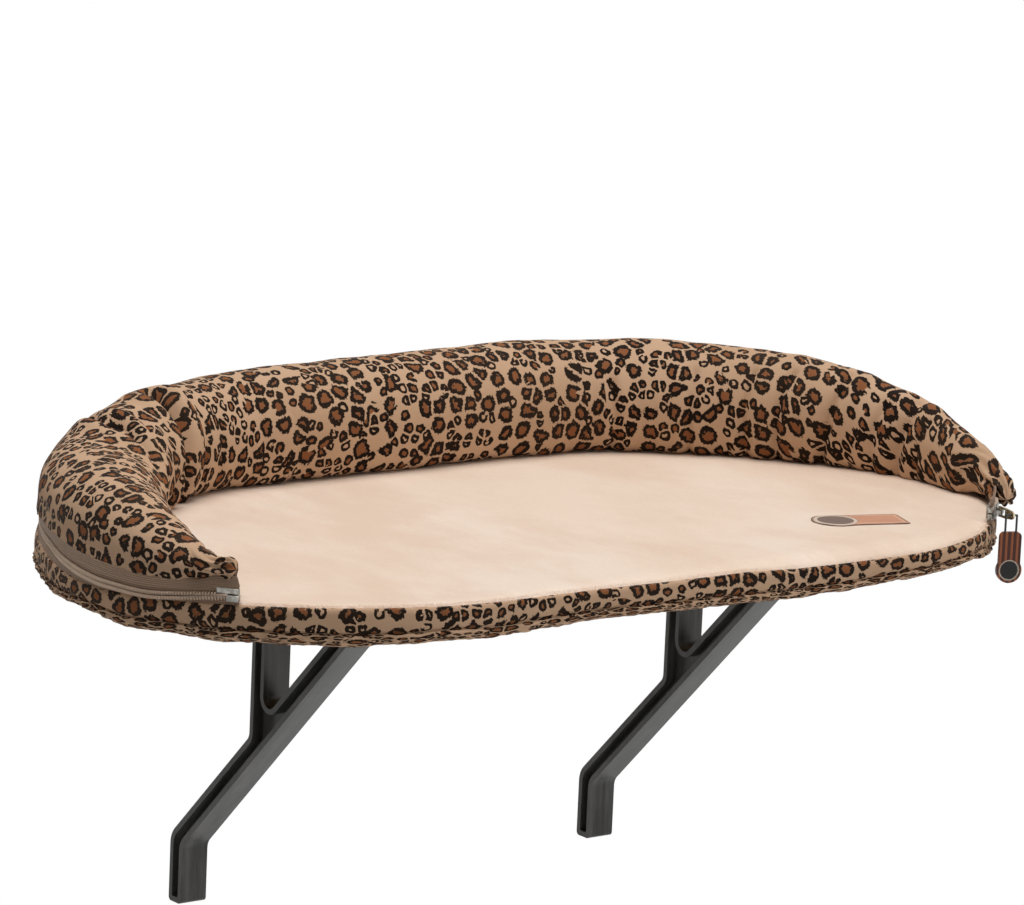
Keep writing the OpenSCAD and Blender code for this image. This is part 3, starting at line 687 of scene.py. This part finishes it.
# Sections of the two gathered tips: place, middle [outwards, height] and half its width and height
LEFT_TIP = (
    (-5.6, -5, 41.6, 0.6, 0.6), (-5.2, -5, 41.6, 4.6, 4.6), (-3.6, -5.2, 41.6, 6, 5.8),
    (0, -6, 41.6, 6.8, 6.3), (5, -6.5, 41.2, 6.6, 5.8), (9, -7, 41.2, 7.4, 6.2),
    (16, -8, 42.6, 9.5, 8.2), (26, -10, 43.5, 12, 11.5),
)
RIGHT_TIP = (
    (-24, -5, 41, 10.8, 13.6), (-15, -3, 39.2, 9.4, 11.4), (-9, -0.5, 37.4, 7.4, 8.8),
    (-4, 1.4, 36.6, 7.4, 8.4), (2, 3.2, 35.4, 7.4, 8), (7, 4.4, 33.6, 6.6, 6.6),
    (10.5, 5.2, 32.2, 4.8, 4.6), (12.5, 5.6, 31.4, 0.6, 0.6),
)


def tip_outline(place, table):
    """Oval section of a tip, begun on its outer side below."""
    at, *columns = zip(*table)
    x, z, a, b = (float(np.interp(place, at, column)) for column in columns)
    turn = np.radians(-60 + 360 * np.arange(SIDES) / SIDES)
    return np.column_stack([x + a * np.cos(turn), z + b * np.sin(turn)])


def tube_outline(s):
    """Section of the stuffed tube at s: evenly spaced [outwards, up] points from the outer seam over the
    top, how far round the tube each one is, and the whole way round."""
    width = share_at(s, WIDTHS)
    seam_z = SEAM_Z - along_rim(max(s, 0), BOLSTER_SAG)
    left_over = ZIP_RUN - s
    w = max(12 if left_over < 200 else 17, BOLSTER_W * width)
    rise = max(4, BOLSTER_Z + BOLSTER_H * share_at(s, HEIGHTS) - seam_z)
    out_x = 0.4 - 1.9 * width + 6 * math.exp(-((max(left_over - 6, 0) / 26) ** 2))
    in_x = -w
    middle, top = (out_x + in_x) / 2, seam_z + rise
    out_z, in_z = seam_z + rise * 0.32, BOLSTER_Z + (top - BOLSTER_Z) * 0.42
    points = [(-0.6, seam_z), ((-0.6 + 3 * out_x) / 4, (seam_z + out_z) / 2)]
    points += arc_points(middle, out_z, out_x - middle, top - out_z, 0, 14)
    points += arc_points(middle, in_z, middle - in_x, top - in_z, 90, 14)
    points += arc_points(in_x + w / 6, in_z, w / 6, in_z - BOLSTER_Z, 180, 8)
    foot = min(12, w * 0.7)
    points += [(in_x + w / 6, BOLSTER_Z), (-foot, BOLSTER_Z), (-foot / 2, BOLSTER_Z + 4)]
    points += [(-2.2, seam_z - 1), (-0.6, seam_z)]
    line = np.array(points)
    along = np.concatenate([[0], np.cumsum(np.hypot(*np.diff(line, axis=0).T))])
    steps = np.linspace(0, along[-1], SIDES + 1)[:-1]
    outline = np.column_stack([np.interp(steps, along, line[:, i]) for i in (0, 1)])
    for place, table, reach in ((s, LEFT_TIP, s), (-left_over, RIGHT_TIP, left_over)):
        share = ramp(30 - reach, 15)
        if share:
            share = share * share * (3 - 2 * share)
            outline = outline * (1 - share) + tip_outline(place, table) * share
    return outline, steps, along[-1]


def near_line(points, s, share, girth):
    """Distance from each place on the cloth to a crease's line, in millimetres of cloth."""
    best = np.full(s.shape, 1e9)
    for (s0, a0), (s1, a1) in zip(points, points[1:]):
        dx, dy = s1 - s0, (a1 - a0) * girth
        px, py = s - s0, (share - a0) * girth
        along = np.clip((px * dx + py * dy) / (dx * dx + dy * dy), 0, 1)
        best = np.minimum(best, np.hypot(px - along * dx, py - along * dy))
    return best


def cloth_noise(s, v, along, across, seed):
    """Smooth noise over the cloth, stretched by a length along the zip and one round the tube."""
    return np.array([[wavy(a / along, b / across, seed) for a, b in zip(*row)] for row in zip(s, v)])


def bolster_rings():
    """Places of the rings, their [outwards, up] points with the folds pressed in, and the way round."""
    ends = (LEFT_TIP[0][0], ZIP_RUN + RIGHT_TIP[-1][0])
    left = list(np.arange(ends[0], TIP_REACH, TIP_STEP))
    right = list(np.arange(ZIP_RUN - TIP_REACH, ends[1], TIP_STEP)) + [ends[1]]
    stations = left + list(np.arange(left[-1] + RING_STEP, right[0] - RING_STEP / 2, RING_STEP)) + right
    flat, v, girths = (np.array(column) for column in zip(*(tube_outline(s) for s in stations)))
    girth = girths[:, None] * np.ones_like(v)
    s = np.array(stations)[:, None] * np.ones_like(v)
    share = v / girth
    tangent = np.roll(flat, -1, 1) - np.roll(flat, 1, 1)
    tangent /= np.maximum(np.hypot(tangent[..., 0], tangent[..., 1])[..., None], 1e-6)
    outward = np.stack([tangent[..., 1], -tangent[..., 0]], -1)
    push = 1.3 * cloth_noise(s, v, 55, 60, 3.1) + 0.7 * cloth_noise(s, v, 20, 34, 7.7)
    turning = np.array([bend(a) for a in stations])[:, None]
    inner = ramp(share - 0.3, 0.25) * ramp(0.86 - share, 0.1)
    push += (0.35 + 0.5 * turning) * inner * cloth_noise(s, v, 8.5, 48, 12.4)
    for points, depth, width in CREASES:
        d = near_line(points, s, share, girth)
        push -= depth * (0.4 * np.exp(-((d / width) ** 2)) + 0.6 * np.exp(-d / (width * 0.36)))
        push += 0.2 * depth * np.exp(-(((d - 2.2 * width) / (1.5 * width)) ** 2))
    seam = np.exp(-v / 6) + np.exp(-(girth - v) / 6)
    push += 0.75 * seam * cloth_noise(s, v, 3.3, 30, 21)
    left_end = np.exp(-np.maximum(s - 4, 0) / 11) * ramp(s - ends[0], 4)
    right_end = np.exp(-np.maximum(ZIP_RUN - 6 - s, 0) / 15) * ramp(ends[1] - s, 4)
    pleats = np.sin(16 * math.pi * share + 0.09 * s + 3 * cloth_noise(s, v, 24, 22, 5.5))
    pleats -= 0.5 * np.abs(np.sin(11 * math.pi * share + 0.14 * s + 4 * cloth_noise(s, v, 14, 18, 9.5)))
    push += (0.8 * left_end + 1.2 * right_end) * pleats
    resting = ramp(share - 0.74, 0.06) * ramp(s - 30, 10) * ramp(ZIP_RUN - 30 - s, 10)
    push *= 1 - 0.8 * resting
    flat = flat + outward * push[..., None]
    flat[..., 1] = np.maximum(flat[..., 1], BOLSTER_Z - 0.2)
    return stations, flat, v


def make_bolster():
    stations, flat, v = bolster_rings()
    rings = []
    for s, outline in zip(stations, flat):
        foot, out = rim(s)
        rings.append([foot + out * float(x) + up(float(z)) for x, z in outline])
    girths = [row[-1] + row[1] for row in v]

    def cut(s):
        """Cloth for a length of rim: in a bend as long as the tube's top, or at the right as its inside."""
        inwards = 16 if s < ZIP_RUN / 2 else 50
        return 1 - inwards * bend(s) / FRONT_R

    lengths = np.cumsum([0] + [(b - a) * cut((a + b) / 2) for a, b in zip(stations, stations[1:])])

    def chart(j, k):
        return (lengths[j] * MM, (v[j][k] if k < SIDES else girths[j]) * MM)

    piece = finish_piece("bolster_cover", loft(rings, chart), COTTON, "bolster")
    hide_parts("bolster_cushion")


# ---------------------------------------- shelf cover
SEAM_ROW, TURNED_ROW = 9, 20  # rows of the profile below which the band is gathered, and turned under
GATHERED = 3.6


def cover_profile():
    """[outwards, height] from the seam with the plush down over a second seam and in under the board."""
    rows = [(-2.6, 23.4), (-1.2, 23.2), (-0.3, 22.4)]
    rows += [(0.4 * math.sin(math.pi * i / 8), 22 - 1.55 * i) for i in range(1, 7)]
    rows += [(-0.9, 11.4), (-1.7, 10.8), (-0.7, 10.2)]
    rows += [(0.2, 9.5), (0.45, 8.7), (0.4, 7.9), (0.1, 7.1), (-0.45, 6.3), (-1.25, 5.5), (-2.3, 4.8)]
    rows += [(-3.6, 4.1), (-5.2, 3.5), (-7.2, 3.2)]
    rows += [(-7.2 - 2.7 * i, 3.05) for i in range(1, 15)]
    rows += [(-46.4, 3.3), (-47.2, 3.9)]
    return rows


def make_cover():
    columns = 1000
    profile = cover_profile()
    start = ZIP_RUN / 2  # the band's ends meet at the window side
    around = [start + RIM * k / columns for k in range(columns)]
    places = [(s, *rim(s), bend(s), along_rim(s, TOP_SAG), along_rim(s, EDGE_SAG)) for s in around]
    rings, gone, chart_v = [], [0], [0]
    for j, (a, b) in enumerate(zip(profile, profile[1:])):
        gone.append(gone[-1] + math.dist(a, b))
        chart_v.append(chart_v[-1] + math.dist(a, b) * (GATHERED if j > SEAM_ROW else 1))
    for j, (x, z) in enumerate(profile):
        low = float(ramp(10.9 - z, 2.4))
        under = float(ramp(-x - 6, 12)) if j > TURNED_ROW else 0
        top_share = float(ramp(z - 3, 20))
        ring = []
        for s, foot, out, turning, top_sag, edge_sag in places:
            gather = wavy(s / 6.5, gone[j] / 2.4, 2) + 0.7 * wavy(s / 3.4, gone[j] / 7, 5)
            slow = wavy(s / 19, gone[j] / 30, 8)
            swell = (0.12 + 0.3 * turning) * slow
            swell += low * (1 - under) * (1.3 * gather + 0.35 * slow) * (1 + 0.3 * turning)
            wave = low * (1 - 0.6 * under) * (0.45 * wavy(s / 5, 3.3, 1) + 0.55 * slow)
            fade = 1 - 0.5 * under if edge_sag > 0 else max(0, 1 + min(x, 0) / 14)
            sag = top_sag * top_share + edge_sag * (1 - top_share) * fade
            lift = 0.8 * under * (0.8 + 0.8 * gather) * (1 + turning)
            ring.append(foot + out * (x + (swell if j > 2 else 0)) + up(z - sag - wave - lift))
        rings.append(ring)

    def chart(j, k):
        return ((start + RIM * k / columns) * MM, 0.4 + chart_v[j] * MM)

    bm = loft(rings, chart, ends=False)
    if upside_down(bm):
        bmesh.ops.reverse_faces(bm, faces=bm.faces)
    piece = finish_piece("shelf_cover", bm, BAND_COTTON, "root")
    thicken(piece, 0.8)
    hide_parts("side_band", "underside_hem")


def upside_down(bm):
    """True if the skin of the cover faces inwards."""
    face = max(bm.faces, key=lambda f: f.calc_center_median().y if abs(f.normal.y) > 0.5 else -9)
    return face.normal.y < 0


# ---------------------------------------- plush panel
PLUSH_SEAM, PLUSH_RISE = 1.6, 20  # insets between which the plush rises from its seam
SEAM_TOP = 22.9


def plush_height(x, y, inset):
    """Height of the pile: crowned near its seam, then a little uneven."""
    edge = 1 - math.exp(-max(inset, 0) / 3.2)
    lumps = 0.28 * wavy(x / 55, y / 55, 4.4) + 0.12 * wavy(x / 14, y / 14, 9.1)
    return SEAM_TOP + 3.1 * edge + lumps * min(inset / 12, 1)


def make_plush():
    columns, inner_rings = 420, 46
    around = [RIM * k / columns for k in range(columns)]
    frames = [rim(s) for s in around]
    sags = [along_rim(s, TOP_SAG) for s in around]
    centre = Vector((0, WIDE_Y + 10, 0))
    rings = [[centre.lerp(foot - 6 * out, 0.02) + up(PLUSH_Z) for foot, out in frames]]
    for inset, drop in ((30, 0), (3.2, 3.4)):
        rings.append([foot - inset * out + up(PLUSH_Z - drop) for foot, out in frames])
    for inset in (PLUSH_SEAM, 1.9, 2.6, 3.6, 5, 7, 9.4, 12.5, 16, PLUSH_RISE):
        near = 1 - (inset - PLUSH_SEAM) / (PLUSH_RISE - PLUSH_SEAM)
        ring = []
        for (foot, out), sag in zip(frames, sags):
            p = foot - inset * out
            ring.append(p + up(plush_height(p.x, p.y, inset - PLUSH_SEAM) - sag * near * near))
        rings.append(ring)
    for i in range(1, inner_rings):
        ring = []
        for foot, out in frames:
            p = centre + (foot - PLUSH_RISE * out - centre) * (1 - i / inner_rings)
            ring.append(p + up(plush_height(p.x, p.y, PLUSH_RISE + 3 * i)))
        rings.append(ring)
    piece = finish_piece("plush_panel", loft(rings), PLUSH, "root")
    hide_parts("plush_top")


def make_pile_edge():
    """Loose fibres of the fleece that stand out over the seam with the band."""
    places = []
    count = 7000
    for i in range(count):
        s = RIM * (i + 0.8 * noise.random()) / count
        foot, out = rim(s)
        drop = noise.random()
        base = foot - (PLUSH_SEAM + 3 * drop) * out + up(SEAM_TOP + 1.9 * drop - along_rim(s, TOP_SAG))
        ahead = Vector((-out.y, out.x, 0)) * (noise.random() - 0.5) * 1.4
        way = (out * (0.7 + 0.5 * noise.random()) + ahead + up(0.55 - 0.9 * noise.random())).normalized()
        length = 1.2 + 1.3 * noise.random()
        turn = way.to_track_quat("Z", "Y").to_matrix().to_4x4()
        place = Matrix.Translation((base + way * length / 2) * MM)
        places.append(place @ turn @ Matrix.Diagonal((1, 1, length, 1)))
    fibre = bmesh.new()
    bmesh.ops.create_cone(fibre, segments=3, radius1=0.13 * MM, radius2=0.02 * MM, depth=MM, cap_ends=True)
    finish_piece("pile_edge", repeated(fibre, places), PLUSH, "root", smooth=False)


# ---------------------------------------- zip
COIL_PITCH, BEAD = 1.8, (0.5, 1.7, 1.2)  # half the width, depth and height of one turn of the coil


def zip_line(s):
    """How far outwards and how high the middle of the zip is at s."""
    return ZIP_OFF + along_rim(s, COIL_SHIFT), ZIP_Z - along_rim(s, COIL_SAG)


def make_teeth(name, node, side, body, from_s):
    """A row of coil turns along the edge of a tape, below or above the middle of the zip."""
    places = []
    for i in range(int((COIL_END - from_s) / COIL_PITCH)):
        s = from_s + COIL_PITCH * (i + 0.5)
        foot, out = rim(s)
        x, z = zip_line(s)
        turn = Matrix((Vector((out.y, -out.x, 0)), out, up(1))).transposed().to_4x4()
        places.append(Matrix.Translation((foot + out * (x + 0.1) + up(z + 1.3 * side)) * MM) @ turn)
    tooth = bmesh.new()
    slant = Matrix.Rotation(math.radians(-16 * side), 4, "Y")
    shape = slant @ Matrix.Diagonal((*(size * MM for size in BEAD), 1))
    bmesh.ops.create_uvsphere(tooth, u_segments=8, v_segments=6, radius=1, matrix=shape)
    piece = finish_piece(name, repeated(tooth, places), COIL, body)
    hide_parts(node)


def make_tape(name, node, side, body):
    """A ribbon from the coil down to the seam of the shelf, or up to that of the bolster."""
    stations = list(np.linspace(ZIP_START, COIL_END + 3.5, 620))
    rows = 13
    rings = []
    for s in stations:
        foot, out = rim(s)
        x, z = zip_line(s)
        near = Vector((x - 0.8, z + 0.9 * side))
        if side < 0:
            far = Vector((-1.4, PLUSH_Z + 0.1 - along_rim(s, TOP_SAG)))
        else:
            far = Vector((-0.9, SEAM_Z + 0.8 - along_rim(s, BOLSTER_SAG) + 2.6 * ramp(16 - s, 10)))
        slack = float(ramp(ZIP_RUN - 170 - s, 30))  # none where the slider runs
        outer = []
        for share in (i / (rows - 1) for i in range(rows)):
            x, z = near.lerp(far, share)
            bulge = 0.7 * math.sin(math.pi * share) + 0.5 * math.exp(-(((share - 0.36) / 0.1) ** 2))
            outer.append((x + slack * (bulge + 0.16 * wavy(s / 13, share * 2, side * 4)), z))
        inner = [(x - TAPE_T, z) for x, z in reversed(outer)]
        rings.append([foot + out * x + up(z) for x, z in outer + inner])
    measure = [*range(rows), *reversed(range(rows)), 0]

    def chart(j, k):
        return (stations[j] * MM, side * measure[k] * 0.55 * MM)

    piece = finish_piece(name, loft(rings, chart), TAPE, body)
    piece.data.set_sharp_from_angle(angle=math.radians(50))
    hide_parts(node)


# ---------------------------------------- label and tag
LABEL_L, LABEL_W, LABEL_ROUND = 29, 14.5, 3  # half the length and half the width, and the radius of a corner
LABEL_CENTRE, LABEL_TURN = Vector((172, -270.5, 0)), -19


def label_weave():
    """A strip with a pale line inside its edge; the round left end is dark inside a pale ring."""
    material, t, shader = surface("label weave", 0.62, sheen_weight=0.1)
    where = cloth_place(t)
    woven = t.group(WEAVE, where, 2300)
    x, y, _ = t.parts(where)
    end, disc_r = LABEL_W * MM, 0.0136
    half = t.span(x, -end, -0.0055, end, 0.01276, smooth=False)
    disc = t.minus(end, t.vector("LENGTH", t.vector("ADD", where, (end, 0, 0))))
    strip = t.maths("MINIMUM", t.minus(LABEL_L * MM, x), t.minus(half, t.maths("ABSOLUTE", y)))
    on_strip = t.maths("GREATER_THAN", x, -end)
    edge = t.plus(t.times(strip, on_strip), t.times(disc, t.minus(1, on_strip)))
    border = t.minus(1, t.span(edge, 0.0006, 0.001))
    oval = t.length(t.maths("DIVIDE", t.plus(x, end), disc_r), t.maths("DIVIDE", y, disc_r))
    base = t.mix(t.noise(where, 60, 3, 0.6, flat=True), srgb(208, 150, 118), srgb(186, 126, 96))
    inlay = t.times(t.line(edge, 0.0026, 0.003, 0.0036, 0.004), on_strip)
    base = t.mix(inlay, base, srgb(224, 184, 156))
    base = t.mix(t.minus(1, t.span(oval, 0.96, 1)), base, srgb(104, 82, 70))
    base = t.mix(t.line(oval, 0.78, 0.82, 0.94, 0.98), base, srgb(216, 196, 178))
    base = t.mix(border, base, srgb(70, 50, 42))
    dress(t, shader, base, woven["Shade"], woven["Height"], 0.5, 0.0002)
    return material


def make_label():
    """Woven patch, sewn down along its edge so that it swells a little in the middle."""
    turn = Matrix.Rotation(math.radians(LABEL_TURN), 4, "Z")
    bm = bmesh.new()
    layer = bm.loops.layers.uv.new("cloth")
    bmesh.ops.create_grid(bm, x_segments=40, y_segments=20, size=1)
    places = {}
    for vert in bm.verts:
        x, y = vert.co.x * LABEL_L, vert.co.y * LABEL_W
        over = max(abs(x) - LABEL_L + LABEL_ROUND, 0), max(abs(y) - LABEL_W + LABEL_ROUND, 0)
        reach = math.hypot(*over)
        if reach > LABEL_ROUND:
            x -= math.copysign(over[0] * (1 - LABEL_ROUND / reach), x)
            y -= math.copysign(over[1] * (1 - LABEL_ROUND / reach), y)
        if x < -LABEL_W:
            y *= math.sqrt(max(1 - ((x + LABEL_W) / 14.6) ** 2, 0))
        else:
            y *= 1 - 0.12 * min((x + LABEL_W) / 9, 1)
        places[vert] = (x * MM, y * MM)
        edge = min(LABEL_L - abs(x), LABEL_W - abs(y))
        swell = 0.55 * (1 - math.exp(-max(edge, 0) / 2.5)) + 0.12 * wavy(x / 9, y / 9, 1)
        vert.co = (turn @ Vector((x, y, 0)) + LABEL_CENTRE + up(26.15 + swell)) * MM
    for face in bm.faces:
        for loop in face.loops:
            loop[layer].uv = places[loop.vert]
    piece = finish_piece("woven_label", bm, label_weave(), "root")
    thicken(piece, 0.5)
    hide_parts("sewn_label")


TAG_EYE, TAG_TURN = Vector((254.265, -313.532, ZIP_Z)), math.radians(-113.165)
LOOP_LENGTH, TAG_LENGTH, TAG_DISC = 10, 31, 15.6


def tag_rubber():
    """Brown rubber with upright stripes; the round end is dark inside a pale ring."""
    material, t, shader = surface("tag rubber", 0.45, specular_ior_level=0.3)
    where = t.vector("SUBTRACT", own_place(t), tuple(TAG_EYE * MM))
    where = t.place(where, turn=(0, 0, -TAG_TURN))
    _, across, height = t.parts(where)
    stripes = t.maths("SINE", t.times(across, 2 * math.pi / 0.0034))
    grain = t.noise(t.place(where, scale=(1, 1200, 90)), 1, 3, 0.6)
    brown = t.mix(t.span(stripes, -0.3, 0.9), srgb(66, 30, 18), srgb(164, 96, 62))
    brown = t.mix(t.span(grain, 0.35, 0.7, 0, 0.35), brown, srgb(70, 36, 24))
    drop = t.plus(height, (LOOP_LENGTH + TAG_LENGTH - TAG_DISC / 2) * MM)
    radius = t.length(across, drop)
    base = t.mix(t.minus(1, t.span(radius, 0.0053, 0.0055)), brown, srgb(17, 15, 15))
    base = t.mix(t.line(radius, 0.0054, 0.0056, 0.0062, 0.0064), base, srgb(216, 206, 190))
    t.feed(shader["Base Color"], base)
    mottled = t.group(MOTTLE, where, 200, 4000, 0.1)
    t.feed(shader["Normal"], t.bump(mottled["Height"], 0.2, 0.00006))
    t.feed(shader["Roughness"], t.span(grain, 0.3, 0.7, 0.34, 0.5))
    return material


# ---------------------------------------- the perch
make_bolster()
make_cover()
make_plush()
noise.seed_set(11)
make_pile_edge()
make_teeth("coil_lower", "zip_teeth_lower", -1, "root", ZIP_START + 7.5)
make_teeth("coil_upper", "zip_teeth_upper", 1, "bolster", ZIP_START + 13.2)
make_tape("tape_lower", "zip_tape_lower", -1, "root")
make_tape("tape_upper", "zip_tape_upper", 1, "bolster")

# The board is hidden, and drawn a little smaller so that it stays inside where the cover's edge rises
middle = Matrix.Translation((0, -0.156, 0))
INNER_BOARD = middle @ Matrix.Diagonal((0.945, 0.915, 1, 1)) @ middle.inverted()
cast_piece("foam_pad", "foam_pad_soft", FOAM, "root", 5, 4)
cast_piece("shelf_board", "rigid_board", BOARD, "root", 2, 3, moved=INNER_BOARD)
make_label()
for side in ("left", "right"):
    cast_piece(f"brace_{side}", f"moulded_brace_{side}", PLASTIC, "root", 1.3, 3)

# The zip's left end stands a little further round the corner, and lower, than its solids
corner = Matrix.Translation(Vector((-FRONT_CX, WIDE_Y, 0)) * MM)
round_corner = Matrix.Rotation(-ZIP_START / FRONT_R, 4, "Z")
ZIP_SHIFT = Matrix.Translation((0, 0, -1.2 * MM)) @ corner @ round_corner @ corner.inverted()
cast_piece("zip_box", "separating_box", STEEL, "root", 0.3, moved=ZIP_SHIFT)
cast_piece("zip_stop_lower", "end_stop_lower", STEEL, "root", 0.25)
cast_piece("zip_stop_upper", "end_stop_upper", STEEL, "bolster", 0.25)
cast_piece("zip_pin", "separating_pin", STEEL, "bolster", 0.25, moved=ZIP_SHIFT)
cast_piece("zip_slider", "slider_body", STEEL, "slider", 0.2)
cast_piece("pull_link", "pull_link_frame", BRASS, "link", 0.2)
cast_piece("pull_tag", "rubber_tag", tag_rubber(), "tag", 0.4, 3)

# Solids that are shown as they are
KEPT = {
    "hem_elastic": ELASTIC,
    "sill_loop_strip": LOOP_STRIP,
    "sill_hook_strip": HOOKS,
    "brace_screws_left": SCREW,
    "brace_screws_right": SCREW,
    "pull_loop": WIRE,
}
for name, material in KEPT.items():
    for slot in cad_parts[name].material_slots:
        slot.material = material


# ---------------------------------------- stage and light
def looked_at(t):
    """1 for the rays that make the picture, also by way of a gloss, and 0 for those that light the perch."""
    rays = t.tree.nodes.new("ShaderNodeLightPath").outputs
    others = t.maths("MAXIMUM", rays["Is Glossy Ray"], rays["Is Transmission Ray"])
    return t.maths("MAXIMUM", rays["Is Camera Ray"], others)


def make_stage():
    material, t, shader = surface("pale floor", 0.9)
    shader["Base Color"].default_value = (0.86, 0.86, 0.86, 1)
    glow = t.node("Emission", (1, 1, 1, 1), 1)
    blended = t.node("MixShader", looked_at(t), shader[0].node.outputs[0], glow)
    t.feed(t.tree.nodes["Material Output"].inputs["Surface"], blended)
    bm = bmesh.new()
    below = Matrix.Translation((0, 0, -0.85))
    bmesh.ops.create_circle(bm, segments=64, radius=14, cap_ends=True, matrix=below)
    floor = new_object("floor", bm, material)


def make_sky():
    world = bpy.data.worlds.new("white room")
    bpy.context.scene.world = world
    world.use_nodes = True
    t = Tree(world.node_tree)
    light = world.node_tree.nodes["Background"].inputs
    light["Color"].default_value = (1, 0.99, 0.975, 1)
    t.feed(light["Strength"], t.plus(t.times(looked_at(t), 0.87), 0.13))


def lamp(name, place, aim, size, energy, colour):
    data = bpy.data.lights.new(name, "AREA")
    data.shape, data.size, data.energy, data.color = "DISK", size, energy, colour
    made = bpy.data.objects.new(name, data)
    made.location = place
    made.rotation_mode = "QUATERNION"
    made.rotation_quaternion = (Vector(aim) - Vector(place)).to_track_quat("-Z", "Y")
    bpy.context.collection.objects.link(made)


make_stage()
make_sky()
lamp("top light", (-0.15, -0.3, 3.3), (0, -0.15, 0), 2.6, 94, (1, 0.99, 0.975))
lamp("window light", (-1, 1.8, 1.6), (0, -0.15, 0), 1.4, 4, (1, 0.99, 0.98))
lamp("side light", (1.8, -1.3, 1.7), (0, -0.15, 0), 1.4, 7, (1, 0.98, 0.96))
lamp("room light", (1.4, -2.5, 0), (0, -0.15, -0.1), 1.2, 13, (1, 0.98, 0.96))
bpy.context.scene.view_settings.view_transform = "Standard"
